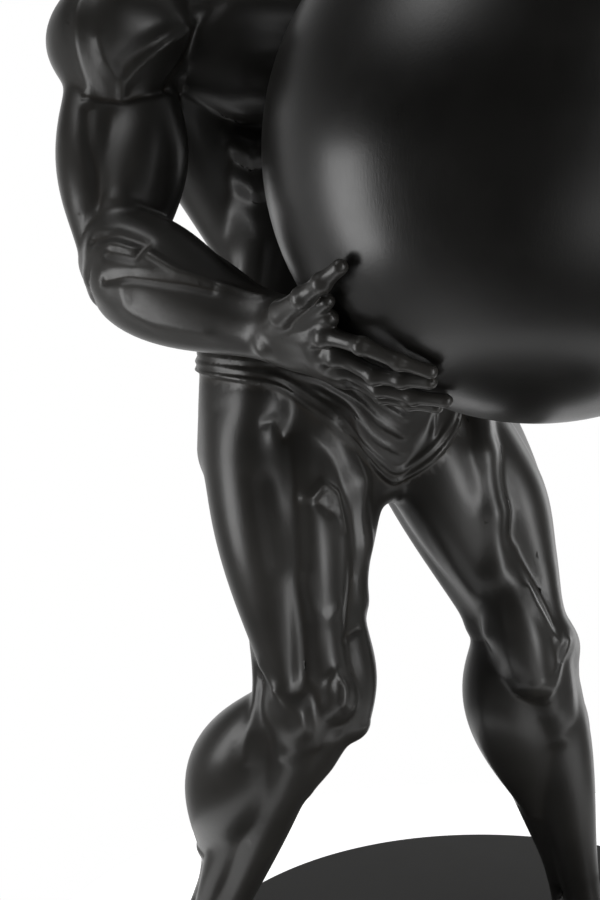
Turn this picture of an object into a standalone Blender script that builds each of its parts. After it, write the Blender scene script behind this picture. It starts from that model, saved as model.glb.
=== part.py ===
"""Statuette of an athlete lifting a large globe, on a round base.

Three pieces: the cast figure, the globe and the disc they stand on.
Metres, +Z up. The origin is the centre of the disc's underside. The figure faces -Y.
"""
import math

import bmesh
import bpy
import numpy as np
from mathutils import Vector

# Driving dimensions, in metres
STATURE = 0.500            # the figure's height if it stood straight; its forms are shares of this
GLOBE_DIAMETER = 0.184
BASE_DIAMETER = 0.290
BASE_THICKNESS = 0.008
BASE_EDGE_ROUND = 0.0015
JOINT_GAP = 0.0003         # between pieces that touch

# Mesh fineness
FORM_VOXEL = 0.0022        # metres, of the mesh that the muscles are drawn on
FIGURE_FACES_KEPT = 0.057  # share of that mesh's faces that the solid keeps
GLOBE_SEGMENTS = 40
GLOBE_RINGS = 20
BASE_SEGMENTS = 72
BLOCK_SIDE = 1.0

# Pose, in shares of the stature, measured from the middle of the hips
HIP_HEIGHT = 0.487
HIP_HALF = 0.066
ANKLE_HEIGHT = 0.043
LEG_SLACK = 0.029          # how much longer a leg is than its drop from hip to ankle
THIGH_SHARE = 0.484        # of the leg, from the hip to the knee
CHEST = (-0.015, 0.062, 0.215)
NECK = (-0.012, 0.078, 0.315)
HEAD = (-0.006, 0.050, 0.395)
HIPS_ON_BASE = (-0.0865, 0.124)
SHOULDER_RIGHT = (-0.155, 0.071, 0.288)
SHOULDER_LEFT = (0.124, 0.068, 0.288)
KNEE_AIM_RIGHT = (0.14, -1.0, 0.0)
KNEE_AIM_LEFT = (0.02, -1.0, 0.0)
ANKLE_RIGHT = (-0.128, 0.016)
KNEE_FRONT_RIGHT = (0.22, -0.975, 0.0)
KNEE_FRONT_LEFT = (0.28, -0.96, 0.0)
STRAP_RIGHT = 1.0          # thickness of the strap muscle that crosses the thigh
STRAP_LEFT = 0.8
ANKLE_LEFT = (0.172, -0.106)
TOES_RIGHT = (-0.12, -1.0, 0.0)
TOES_LEFT = (0.66, -0.75, 0.0)
UPPER_ARM_LENGTH = 0.188
FOREARM_LENGTH = 0.150
ELBOW_AIM_RIGHT = (-0.68, 0.28, -1.0)
ELBOW_AIM_LEFT = (0.60, 0.25, -1.0)

# The globe rests against the chest, its centre in front of and just below it
GLOBE_BACK_POINT = (0.012, -0.0215, 0.208)
WRIST_RIGHT_SIDE = (-0.745, 0.33, -0.580)
FINGERS_RIGHT_SIDE = (-0.55, -0.45, -0.66)
WRIST_LEFT_SIDE = (0.765, 0.33, -0.555)
FINGERS_LEFT_SIDE = (0.55, -0.45, -0.66)
WRIST_LIFT = 0.024
FINGER_LIFT = 0.0085
# Radius of each finger, then its knuckle, joints and tip as arcs along and across the globe
FINGERS = ((0.0062, (0.060, -0.026), (0.092, -0.028), (0.112, -0.014), (0.128, -0.003)),
           (0.0065, (0.062, -0.008), (0.088, 0.003), (0.104, 0.007), (0.122, 0.009)),
           (0.0062, (0.056, 0.010), (0.080, 0.022), (0.100, 0.030), (0.121, 0.034)),
           (0.0056, (0.048, 0.026), (0.070, 0.038), (0.086, 0.045), (0.104, 0.049)))
# The thumb's root, joints and tip: arcs along and across, and the lift
THUMB = ((0.030, -0.038, 0.023), (0.056, -0.060, 0.018), (0.070, -0.072, 0.012), (0.081, -0.083, 0.007))

# Trunks: FORK is the place, sideways and up, where the two hems meet
FORK = (0.001, -0.056)
HEM_ROUND = 0.009
HEM_SLOPE = 0.98
HEM_TOP = 0.033
HEM_BEND = 0.009
HEM_EDGE = 0.003
HEM_ROLLS = (0.0030, 0.0095)
HEM_ROLL_WIDTH = 0.0022
HEM_ROLL_HEIGHT = 0.0018
TRUNK_THICKNESS = 0.0020
TRUNK_FRONT = -0.105
TRUNK_SIDE = 0.17
WAIST_HEIGHT = 0.058

LONGEST_STEP = 0.006
SHORTEST = 0.0001          # length of a form that is only a ball
REACH = 0.03               # beyond its radius, how far a form is felt
SMOOTH = 0.0060            # how far the broad masses melt together
BROAD = 0.0042             # how far the long muscles of the thigh melt together
SOFT = 0.0026              # how far neighbouring muscles melt together
FIRM = 0.0015              # the same for the hands, feet and face


def unit(v):
    v = np.asarray(v, float)
    return v / np.linalg.norm(v)


def swell(t, peak):
    """Rises from nought to one at the peak and falls back to nought."""
    return np.sin(math.pi * t ** (math.log(0.5) / math.log(peak)))


class Frame:
    """A bone: z runs along it, y is its front, x its outer side."""

    def __init__(self, start, end, front, side):
        self.start = np.asarray(start, float)
        self.end = np.asarray(end, float)
        self.length = np.linalg.norm(self.end - self.start)
        self.z = unit(self.end - self.start)
        front = np.asarray(front, float)
        self.y = unit(front - self.z * front.dot(self.z))
        across = np.cross(self.y, self.z)
        self.x = across if across[0] * side > 0 else -across

    def at(self, x, y, t):
        return self.start + self.x * x + self.y * y + self.z * (t * self.length)


class Forms:
    """The body as rounded forms that melt together where they meet."""

    def __init__(self):
        self.rows = []

    def add(self, a, b, ra, rb, belly=0.0, flat=1.0, across=(0, 0, 1), soft=SOFT, peak=0.5):
        a = np.asarray(a, float)
        b = np.asarray(b, float)
        self.rows.append((a, b, ra, rb, belly, flat, unit(across), soft, peak))

    def ball(self, c, r, flat=1.0, across=(0, 0, 1), soft=SOFT):
        c = np.asarray(c, float)
        self.add(c, c + (0.0, 0.0, SHORTEST), r, r, 0.0, flat, across, soft)

    def path(self, points, radii, soft=SOFT):
        for a, b, ra, rb in zip(points, points[1:], radii, radii[1:]):
            self.add(a, b, ra, rb, soft=soft)

    def pull(self, p):
        """How far inside the melted surface each point is, and the slope outwards."""
        weight = np.full(len(p), 1e-30)
        slope = np.zeros_like(p)
        for a, b, ra, rb, belly, flat, n, soft, peak in self.rows:
            reach = np.linalg.norm(b - a) / 2 + max(ra, rb) + belly + REACH
            near = np.flatnonzero(((p - (a + b) / 2) ** 2).sum(1) < reach * reach)
            if not len(near):
                continue
            ab = b - a
            q = p[near] - a
            t = np.clip(q @ ab / ab.dot(ab), 0.0, 1.0)
            r = ra + (rb - ra) * t + belly * swell(t, peak)
            q = q - t[:, None] * ab
            q = q + np.outer((q @ n) * (1.0 / flat - 1.0), n)
            size = np.sqrt((q * q).sum(1)) + 1e-9
            g = (q + np.outer((q @ n) * (1.0 / flat - 1.0), n)) / size[:, None]
            steep = np.sqrt((g * g).sum(1)) + 1e-9
            w = np.exp(np.clip((r - size) / steep / soft, -60.0, 60.0))
            weight[near] += w
            slope[near] += g * (w / steep / soft)[:, None]
        return np.log(weight), slope / weight[:, None]

    def step(self, p):
        """The move that takes each point onto the melted surface."""
        depth, slope = self.pull(p)
        return slope * (depth / np.maximum((slope * slope).sum(1), 1e-9))[:, None]

    def outward(self, p):
        slope = self.pull(p)[1]
        return slope / np.maximum(np.sqrt((slope * slope).sum(1)), 1e-9)[:, None]


def bend(start, end, first, second, aim):
    """The middle joint of a two-bone limb from start to end, pushed towards aim."""
    start = np.asarray(start, float)
    line = np.asarray(end, float) - start
    span = np.linalg.norm(line)
    stretch = max(1.0, span / (first + second) * 1.001)
    first, second = first * stretch, second * stretch
    along = (first ** 2 - second ** 2 + span ** 2) / (2 * span)
    out = math.sqrt(max(first ** 2 - along ** 2, 0.0))
    line = unit(line)
    aim = np.asarray(aim, float)
    return start + line * along + unit(aim - line * aim.dot(line)) * out


class Globe:
    """The globe in shares of the stature, with arcs drawn over its surface."""

    def __init__(self):
        self.radius = GLOBE_DIAMETER / 2 / STATURE
        self.centre = np.asarray(GLOBE_BACK_POINT) - (0.0, self.radius, 0.0)

    def over(self, start, toward, along, across, lift):
        """A point at the given arc lengths from start, lifted off the surface."""
        start = unit(start)
        ahead = unit(np.asarray(toward) - start * start.dot(toward))
        side = np.cross(start, ahead)
        arc = math.hypot(along, across)
        turn = arc / (self.radius + lift)
        way = (ahead * along + side * across) / max(arc, 1e-9)
        out = start * math.cos(turn) + way * math.sin(turn)
        return self.centre + out * (self.radius + lift)


def thigh_forms(forms, hip, knee, front, side, strap):
    bone = Frame(hip, knee, front, side)
    u = bone.at
    add = forms.add
    add(u(0, 0, 0.05), u(0, 0, 1), 0.044, 0.029, soft=BROAD)
    # Front: the long middle muscle, the outer one and the inner teardrop
    add(u(0.016, 0.028, 0.00), u(0.008, 0.032, 0.92), 0.014, 0.008, 0.019, soft=BROAD, peak=0.46)
    add(u(0.018, 0.034, 0.22), u(0.016, 0.034, 0.72), 0.012, 0.010, 0.015, peak=0.45)
    add(u(0.043, 0.004, -0.02), u(0.028, 0.014, 0.94), 0.022, 0.009, 0.018, soft=BROAD, peak=0.46)
    add(u(0.047, -0.004, 0.00), u(0.032, 0.000, 0.80), 0.020, 0.010, 0.013, soft=BROAD, peak=0.42)
    add(u(-0.018, 0.030, 0.62), u(-0.027, 0.022, 1.06), 0.012, 0.015, 0.009, peak=0.60)
    # Inner side and back
    add(u(-0.040, 0.014, -0.02), u(-0.022, 0.008, 0.80), 0.029, 0.012, 0.017, soft=BROAD, peak=0.42)
    add(u(0.020, -0.026, 0.00), u(0.018, -0.014, 0.92), 0.024, 0.006, 0.011, soft=BROAD, peak=0.38)
    add(u(-0.020, -0.030, 0.00), u(-0.018, -0.014, 0.94), 0.024, 0.006, 0.011, soft=BROAD, peak=0.34)
    # The strap muscle that crosses from the hip to the inside of the knee
    points = (u(0.034, 0.034, -0.16), u(0.004, 0.048, 0.06), u(-0.016, 0.048, 0.26),
              u(-0.024, 0.040, 0.46), u(-0.030, 0.028, 0.66), u(-0.034, 0.010, 0.86),
              u(-0.028, 0.004, 1.06))
    radii = (0.010, 0.013, 0.014, 0.013, 0.011, 0.009, 0.007)
    forms.path(points, [r * strap for r in radii], soft=BROAD)
    add(u(0.036, 0.024, -0.20), u(0.050, 0.010, 0.22), 0.014, 0.009, 0.013, soft=BROAD, peak=0.45)


def knee_forms(forms, hip, knee, ankle, front, side):
    thigh = Frame(hip, knee, front, side)
    shank = Frame(knee, ankle, front, side)
    u, s = thigh.at, shank.at
    add, ball = forms.add, forms.ball
    for x in (-0.016, 0.016):
        ball(u(x, 0.010, 1.0), 0.025, soft=BROAD)
    # Kneecap with its tendons, above and below
    ball(u(0.001, 0.035, 0.97), 0.0170, flat=0.78, across=thigh.y, soft=SOFT)
    add(u(0.004, 0.032, 0.78), u(0.001, 0.035, 0.94), 0.011, 0.012, soft=BROAD)
    add(s(0.0, 0.031, 0.02), s(-0.001, 0.025, 0.20), 0.0085, 0.0090, 0.001)
    add(s(-0.012, 0.022, 0.03), s(-0.009, 0.018, 0.26), 0.0150, 0.0110, 0.002, soft=BROAD)
    for x in (-0.016, 0.016):
        add(s(x, 0.018, 0.01), s(x * 0.8, 0.016, 0.14), 0.015, 0.014, soft=BROAD)
    # Outer band and the two tendons behind
    add(u(0.036, 0.008, 0.62), s(0.024, 0.018, 0.09), 0.008, 0.007)
    add(u(0.024, -0.016, 0.80), s(0.030, -0.006, 0.08), 0.008, 0.008)
    add(u(-0.022, -0.018, 0.84), s(-0.024, 0.000, 0.10), 0.008, 0.007, soft=BROAD)


def shank_forms(forms, knee, ankle, front, side):
    bone = Frame(knee, ankle, front, side)
    s = bone.at
    add, ball = forms.add, forms.ball
    add(s(0, 0.002, 0), s(0, 0, 0.98), 0.026, 0.015)
    add(s(-0.004, 0.018, 0.12), s(-0.004, 0.008, 0.92), 0.009, 0.006, 0.003)
    add(s(0.012, 0.014, 0.08), s(0.002, 0.010, 0.84), 0.012, 0.006, 0.011, peak=0.35)
    add(s(0.023, -0.002, 0.08), s(0.014, -0.008, 0.94), 0.011, 0.006, 0.009, peak=0.35)
    # Calf, in two heads over the deeper muscle
    add(s(-0.016, -0.016, -0.10), s(-0.016, -0.016, 0.56), 0.014, 0.010, 0.026, peak=0.42)
    add(s(0.018, -0.016, -0.02), s(0.014, -0.026, 0.66), 0.010, 0.011, 0.033, peak=0.50)
    add(s(0.004, -0.024, 0.10), s(0, -0.018, 0.86), 0.018, 0.010, 0.014, peak=0.36)
    add(s(0, -0.022, 0.60), s(0, -0.026, 1.06), 0.009, 0.008)
    ball(s(-0.017, 0.002, 0.975), 0.0105, soft=FIRM)
    ball(s(0.018, -0.002, 1.0), 0.0105, soft=FIRM)


def leg(forms, side, hip, ankle, knee_aim, front, toes, strap):
    length = HIP_HEIGHT - ANKLE_HEIGHT + LEG_SLACK
    knee = bend(hip, ankle, length * THIGH_SHARE, length * (1.0 - THIGH_SHARE), knee_aim)
    thigh_forms(forms, hip, knee, front, side, strap)
    knee_forms(forms, hip, knee, ankle, front, side)
    shank_forms(forms, knee, ankle, front, side)
    foot(forms, side, ankle, toes)


def foot(forms, side, ankle, toes):
    ahead = unit(toes)
    out = np.cross(ahead, (0, 0, 1.0))
    out = out if out[0] * side > 0 else -out

    def f(x, y, z):
        p = np.asarray(ankle) + ahead * y + out * x
        p[2] = z - HIP_HEIGHT
        return p

    add = forms.add
    add(f(0, -0.028, 0.017), f(0, -0.004, 0.038), 0.0185, 0.019)
    add(f(-0.002, 0.000, 0.038), f(-0.010, 0.078, 0.013), 0.020, 0.0125)
    add(f(0.008, -0.015, 0.013), f(0.020, 0.070, 0.009), 0.015, 0.011)
    add(f(-0.008, -0.010, 0.026), f(-0.016, 0.080, 0.012), 0.013, 0.0135)
    for i in range(4):
        add(f(-0.008 + 0.008 * i, 0.030, 0.034 - 0.005 * i), f(-0.014 + 0.010 * i, 0.080, 0.019 - 0.002 * i),
            0.004, 0.005, soft=FIRM)
    for i in range(5):
        x = -0.021 + 0.0118 * i
        reach = 0.118 - 0.003 * i - 0.0015 * i * i
        r = 0.0100 if i == 0 else 0.0074 - 0.0003 * i
        bent = f(x, reach - r * 3.0, r * 1.25)
        end = f(x * 1.02, reach - r, r * 0.78)
        add(f(x * 0.86, 0.076 - 0.003 * i, 0.011), bent, r, r * 0.92, soft=FIRM / 2)
        add(bent, end, r * 0.92, r, soft=FIRM / 2)


def arm(forms, globe, side, shoulder, wrist_side, finger_side, aim):
    wrist = globe.over(wrist_side, finger_side, 0.0, 0.0, WRIST_LIFT)
    elbow = bend(shoulder, wrist, UPPER_ARM_LENGTH, FOREARM_LENGTH, aim)
    upper_arm_forms(forms, shoulder, elbow, wrist, side)
    forearm_forms(forms, shoulder, elbow, wrist, side)
    hand(forms, globe, side, wrist_side, finger_side)


def upper_arm_forms(forms, shoulder, elbow, wrist, side):
    bone = Frame(shoulder, elbow, wrist - np.asarray(shoulder), side)
    u = bone.at
    add, ball = forms.add, forms.ball
    # Shoulder cap, in three blunt heads that overhang the arm
    ball(u(0.000, 0.0, -0.04), 0.041, soft=SMOOTH)
    add(u(0.014, 0.024, -0.10), u(0.016, 0.008, 0.38), 0.022, 0.009, 0.020, soft=BROAD, peak=0.46)
    add(u(0.034, 0.001, -0.10), u(0.022, 0.000, 0.38), 0.026, 0.010, 0.021, soft=BROAD, peak=0.46)
    add(u(0.024, -0.022, -0.10), u(0.016, -0.010, 0.36), 0.023, 0.010, 0.021, soft=BROAD, peak=0.46)
    # Upper arm
    add(u(0.002, -0.002, 0.1), u(0, 0, 1.0), 0.027, 0.024)
    add(u(-0.002, 0.014, 0.20), u(0.0, 0.014, 0.96), 0.014, 0.011, 0.019, peak=0.48)
    add(u(0.014, 0.006, 0.40), u(0.014, 0.010, 1.0), 0.009, 0.011, 0.008, soft=BROAD)
    add(u(-0.010, -0.020, 0.05), u(-0.004, -0.014, 0.92), 0.016, 0.010, 0.016, peak=0.46)
    add(u(0.018, -0.022, 0.14), u(0.010, -0.018, 0.96), 0.016, 0.010, 0.016, peak=0.52)
    ball(u(0.002, -0.012, 0.98), 0.020)


def forearm_forms(forms, shoulder, elbow, wrist, side):
    bone = Frame(elbow, wrist, np.asarray(shoulder) - wrist, side)
    f = bone.at
    add, ball = forms.add, forms.ball
    add(f(0, 0, 0), f(0, 0, 1.04), 0.026, 0.017, soft=BROAD)
    add(f(0, 0.006, 0.70), f(0, 0.005, 1.10), 0.014, 0.014, soft=BROAD)
    add(f(0, -0.006, 0.70), f(0, -0.005, 1.10), 0.014, 0.014, soft=BROAD)
    # Ridge over the top, outer muscles, under side and inner mass
    add(f(0.010, 0.014, -0.16), f(0.008, 0.012, 0.72), 0.014, 0.007, 0.018, peak=0.40)
    add(f(0.022, 0.002, -0.04), f(0.012, 0.004, 0.84), 0.010, 0.006, 0.014, peak=0.40)
    add(f(0.018, -0.014, 0.00), f(0.010, -0.006, 0.94), 0.012, 0.006, 0.014, peak=0.36)
    add(f(0.004, -0.020, 0.00), f(0.002, -0.010, 0.98), 0.014, 0.008, 0.014, peak=0.36)
    add(f(-0.012, -0.014, 0.04), f(-0.006, -0.008, 0.98), 0.012, 0.008, 0.014, peak=0.36)
    add(f(-0.016, 0.004, 0.02), f(-0.008, 0.006, 0.90), 0.014, 0.009, 0.018, peak=0.36)
    ball(f(0.022, -0.006, 0.0), 0.010)
    ball(f(0.012, -0.014, 1.0), 0.0080, soft=SOFT)


def finger(forms, globe, joints, radii, soft):
    """Bones, knuckles and a nail, from the knuckle to the tip."""
    add, ball = forms.add, forms.ball
    for a, b, ra, rb in zip(joints, joints[1:], radii, radii[1:]):
        add(a, b, ra, rb, -0.08 * ra, soft=soft)
    for p, r in zip(joints[1:-1], radii[1:-1]):
        ball(p + unit(p - globe.centre) * r * 0.16, r * 1.02, soft=soft)


def hand(forms, globe, side, wrist_side, finger_side):
    """The palm and fingers lie over the globe; the thumb stands away from them."""

    def g(along, across, lift):
        return globe.over(wrist_side, finger_side, along, across * side, lift)

    add = forms.add
    out = unit(g(0, 0, 1) - globe.centre)
    add(g(-0.004, 0.000, 0.024), g(0.040, 0.000, 0.016), 0.0165, 0.0145, flat=0.85, across=out,
        soft=BROAD)
    add(g(0.000, -0.006, 0.024), g(0.042, -0.016, 0.016), 0.0130, 0.0105, soft=BROAD)
    add(g(0.000, 0.006, 0.023), g(0.042, 0.018, 0.014), 0.0130, 0.0110, soft=BROAD)
    for r, *places in FINGERS:
        knuckle = places[0]
        lifts = (0.0135, 0.0125, FINGER_LIFT, FINGER_LIFT - 0.0025)
        joints = [g(*place, lift) for place, lift in zip(places, lifts)]
        add(g(0.004, knuckle[1] * 0.5, 0.022), joints[0], 0.0095, r * 1.10, soft=FIRM)
        add(g(-0.002, knuckle[1] * 0.35, 0.0385), g(*knuckle, 0.0190), 0.0032, 0.0030, soft=FIRM)
        forms.ball(g(*knuckle, 0.0155), r * 1.08, soft=FIRM)
        finger(forms, globe, joints, (r * 1.02, r * 0.92, r * 0.84, r * 0.74), FIRM / 2)
    joints = [g(*place) for place in THUMB]
    add(g(0.004, -0.008, 0.025), joints[0], 0.0120, 0.0092, soft=SOFT)
    finger(forms, globe, joints, (0.0088, 0.0070, 0.0064, 0.0052), FIRM / 2)
    # Web between the thumb and the first finger
    add(g(0.030, -0.026, 0.016), g(0.060, -0.036, 0.008), 0.010, 0.006, soft=FIRM)
    add(g(0.040, -0.034, 0.014), g(0.064, -0.052, 0.008), 0.008, 0.005, soft=FIRM)


def torso(forms):
    add = forms.add
    chest = np.asarray(CHEST)
    neck = np.asarray(NECK)
    waist = chest * 0.42

    def c(x, y, z):
        return chest + (x, y, z)

    # Rib cage, belly and pelvis
    add(c(0, 0.0, 0.045), c(0, 0.0, -0.06), 0.086, 0.074, flat=0.80, across=(0, 1, 0), soft=SMOOTH)
    add(c(0, 0.0, -0.06), waist, 0.070, 0.066, flat=0.84, across=(0, 1, 0), soft=SMOOTH)
    add(waist, (0, 0.0, 0.01), 0.064, 0.076, flat=0.84, across=(0, 1, 0), soft=SMOOTH)
    add((-0.052, 0.000, 0.030), (0.052, 0.000, 0.030), 0.054, 0.054, soft=SMOOTH)
    add((0, -0.034, 0.004), (0, -0.030, -0.050), 0.034, 0.025, soft=SMOOTH)
    for side in (-1, 1):
        # Chest: lower and upper bundles running to the arm
        add(c(side * 0.030, -0.050, 0.042), c(side * 0.116, -0.026, 0.052), 0.032, 0.022, 0.010,
            flat=0.75, across=(0, 1, 0))
        add(c(side * 0.026, -0.044, 0.074), c(side * 0.126, -0.018, 0.072), 0.026, 0.018, 0.009,
            flat=0.8, across=(0, 1, 0))
        # Ribs and the saw-tooth muscle
        for i in range(4):
            add(c(side * (0.066 - 0.006 * i), -0.044 + 0.004 * i, -0.014 - 0.026 * i),
                c(side * (0.088 - 0.008 * i), -0.008 + 0.003 * i, 0.004 - 0.026 * i), 0.0105, 0.0090,
                soft=SMOOTH)
        # Back: the broad muscle, shoulder blade, trapezius and the columns beside the spine
        add(c(side * 0.106, 0.010, 0.046), c(side * 0.056, 0.006, -0.100), 0.034, 0.014, 0.013, peak=0.3)
        add(c(side * 0.044, 0.048, 0.070), c(side * 0.104, 0.028, 0.060), 0.026, 0.022, 0.004)
        add(c(side * 0.048, 0.050, 0.034), c(side * 0.108, 0.026, 0.040), 0.024, 0.018, 0.002)
        add(c(side * 0.022, 0.052, 0.060), (side * 0.024, 0.050, 0.060), 0.017, 0.019, 0.006)
        add(neck + (side * 0.012, 0.008, 0.040), c(side * 0.118, 0.008, 0.094), 0.026, 0.026, 0.003,
            soft=BROAD)
        add(neck + (side * 0.030, 0.012, 0.000), c(side * 0.116, 0.014, 0.074), 0.030, 0.032,
            soft=BROAD)
        add(c(side * 0.030, 0.034, 0.080), c(side * 0.128, 0.026, 0.072), 0.032, 0.030, soft=SMOOTH)
        add(neck + (side * 0.012, 0.018, 0.000), c(side * 0.020, 0.058, -0.010), 0.026, 0.014, 0.004)
        add(c(side * 0.014, -0.032, 0.094), c(side * 0.126, -0.004, 0.092), 0.0085, 0.0105)
        # Flank, hip and seat
        add(waist + (side * 0.052, -0.002, 0.034), (side * 0.081, -0.002, 0.050), 0.024, 0.029, 0.003,
            soft=SMOOTH)
        add((side * 0.095, 0.006, 0.038), (side * 0.102, 0.004, -0.026), 0.037, 0.034, soft=SMOOTH)
        add((side * 0.046, 0.038, 0.038), (side * 0.053, 0.038, -0.034), 0.040, 0.040, 0.005,
            soft=BROAD)
        add(waist + (side * 0.012, 0.030, 0.02), (side * 0.014, 0.050, 0.010), 0.026, 0.030,
            soft=SMOOTH)
        # Belly muscles
        for row in range(4):
            z = 0.178 - 0.034 * row
            y = CHEST[1] * z / CHEST[2] - 0.046 + 0.003 * row
            add((side * 0.014 + CHEST[0] * 0.5, y, z), (side * 0.026 + CHEST[0] * 0.5, y + 0.004, z),
                0.0150, 0.0140, soft=SMOOTH)


def head(forms):
    add, ball = forms.add, forms.ball
    neck = np.asarray(NECK)
    h = np.asarray(HEAD)
    add(neck - (0, 0, 0.01), h + (0, 0.012, -0.028), 0.046, 0.040)
    for side in (-1, 1):
        add(neck + (side * 0.012, -0.040, -0.004), h + (side * 0.034, 0.010, -0.032), 0.008, 0.012)
    # Skull, forehead, muzzle and chin
    add(h + (0, 0.012, 0.020), h + (0, -0.006, 0.022), 0.0475, 0.0430, flat=0.86, across=(1, 0, 0))
    add(h + (0, -0.006, 0.004), h + (0, -0.022, -0.032), 0.038, 0.0215)
    add(h + (-0.006, -0.036, -0.0500), h + (0.006, -0.036, -0.0500), 0.0098, 0.0098, soft=SOFT)
    add(h + (0, -0.040, -0.0260), h + (0, -0.036, -0.0380), 0.0120, 0.0110, soft=SOFT)
    for side in (-1, 1):
        # Jaw, cheekbone and cheek
        add(h + (side * 0.035, 0.002, -0.020), h + (side * 0.031, -0.008, -0.036), 0.0110, 0.0090)
        add(h + (side * 0.031, -0.008, -0.036), h + (side * 0.012, -0.032, -0.050), 0.0090, 0.0085)
        add(h + (side * 0.035, -0.006, -0.002), h + (side * 0.025, -0.029, -0.007), 0.0070, 0.0095,
            soft=SMOOTH)
        add(h + (side * 0.022, -0.027, -0.015), h + (side * 0.017, -0.031, -0.034), 0.0120, 0.0100,
            soft=SMOOTH)
        # Ear
        ball(h + (side * 0.042, 0.010, 0.000), 0.0125, flat=0.36, across=(1, 0.35 * side, 0), soft=FIRM)
        ball(h + (side * 0.0405, 0.006, -0.0125), 0.0062, flat=0.5, across=(1, 0, 0), soft=FIRM)
        # Brow, eye and its lids
        add(h + (side * 0.008, -0.0445, 0.0150), h + (side * 0.028, -0.0345, 0.0160), 0.0056, 0.0056,
            0.0006, soft=SOFT)
        ball(h + (side * 0.0160, -0.0345, 0.0055), 0.0095, soft=FIRM)
        # Wing of the nose and the lips
        ball(h + (side * 0.0064, -0.0500, -0.0180), 0.0044, soft=FIRM / 2)
        add(h + (side * 0.0015, -0.0500, -0.0305), h + (side * 0.0110, -0.0440, -0.0325), 0.0030, 0.0014,
            soft=FIRM / 2)
        add(h + (side * 0.0010, -0.0485, -0.0362), h + (side * 0.0100, -0.0440, -0.0338), 0.0034, 0.0014,
            soft=FIRM / 2)
    add(h + (0, -0.0440, 0.0120), h + (0, -0.0555, -0.0150), 0.0046, 0.0050, soft=FIRM)
    ball(h + (0, -0.0560, -0.0165), 0.0054, soft=FIRM / 2)
    # Hair, as a cap
    add(h + (0, 0.016, 0.028), h + (0, 0.000, 0.034), 0.0500, 0.0440, flat=0.88, across=(1, 0, 0), soft=FIRM)


def ease(x):
    x = np.clip(x, 0.0, 1.0)
    return x * x * (3.0 - 2.0 * x)


def ridge(x, middle, width):
    return np.exp(-((x - middle) / width) ** 2)


def above_hem(p):
    """How far each point lies above the hem of its leg opening."""
    across = np.hypot(p[:, 0] - FORK[0], HEM_ROUND) - HEM_ROUND
    rise = HEM_SLOPE * across + FORK[1]
    low = np.exp(-rise / HEM_BEND)
    high = math.exp(-HEM_TOP / HEM_BEND)
    hem = -HEM_BEND * np.log(low + high)
    tilt = HEM_SLOPE * low / (low + high)
    return (p[:, 2] - hem) / np.sqrt(1.0 + tilt * tilt)


def trunk_lift(p):
    """How far the trunks stand off the skin, with a rolled hem and a waistband."""
    hem = above_hem(p)
    band = WAIST_HEIGHT - p[:, 2]
    reach = (p[:, 1] > TRUNK_FRONT) & (np.abs(p[:, 0]) < TRUNK_SIDE)
    cover = ease(hem / HEM_EDGE) * ease(band / HEM_EDGE) * reach
    rolls = ridge(hem, HEM_ROLLS[0], HEM_ROLL_WIDTH) + ridge(hem, HEM_ROLLS[1], HEM_ROLL_WIDTH)
    rolls = rolls + ridge(band, HEM_ROLLS[0], HEM_ROLL_WIDTH) + ridge(band, HEM_ROLLS[1], HEM_ROLL_WIDTH)
    lift = TRUNK_THICKNESS + HEM_ROLL_HEIGHT * rolls
    return cover * lift


def body_forms(globe):
    forms = Forms()
    torso(forms)
    head(forms)
    ankle_z = ANKLE_HEIGHT - HIP_HEIGHT
    leg(forms, -1, (-HIP_HALF, 0, 0), (*ANKLE_RIGHT, ankle_z), KNEE_AIM_RIGHT, KNEE_FRONT_RIGHT,
        TOES_RIGHT, STRAP_RIGHT)
    leg(forms, 1, (HIP_HALF, 0, 0), (*ANKLE_LEFT, ankle_z), KNEE_AIM_LEFT, KNEE_FRONT_LEFT,
        TOES_LEFT, STRAP_LEFT)
    arm(forms, globe, -1, SHOULDER_RIGHT, WRIST_RIGHT_SIDE, FINGERS_RIGHT_SIDE, ELBOW_AIM_RIGHT)
    arm(forms, globe, 1, SHOULDER_LEFT, WRIST_LEFT_SIDE, FINGERS_LEFT_SIDE, ELBOW_AIM_LEFT)
    return forms


def hips_origin():
    x, y = HIPS_ON_BASE
    top = BASE_THICKNESS + JOINT_GAP
    return np.array((x * STATURE, y * STATURE, HIP_HEIGHT * STATURE + top))


def clear_scene():
    for obj in list(bpy.data.objects):
        bpy.data.objects.remove(obj, do_unlink=True)


def collection(name):
    found = bpy.data.collections.new(name)
    bpy.context.scene.collection.children.link(found)
    return found


def make_object(name, mesh, group):
    obj = bpy.data.objects.new(name, mesh)
    group.objects.link(obj)
    return obj


def cutter(obj):
    obj.hide_render = True
    obj.display_type = "WIRE"
    return obj


def cut(obj, tool):
    mod = obj.modifiers.new("cut_" + tool.name, "BOOLEAN")
    mod.operation = "DIFFERENCE"
    mod.object = tool


def finish(name, colour, roughness):
    mat = bpy.data.materials.new(name)
    mat.use_nodes = True
    shader = mat.node_tree.nodes["Principled BSDF"]
    shader.inputs["Base Color"].default_value = (*colour, 1.0)
    shader.inputs["Roughness"].default_value = roughness
    return mat


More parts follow.
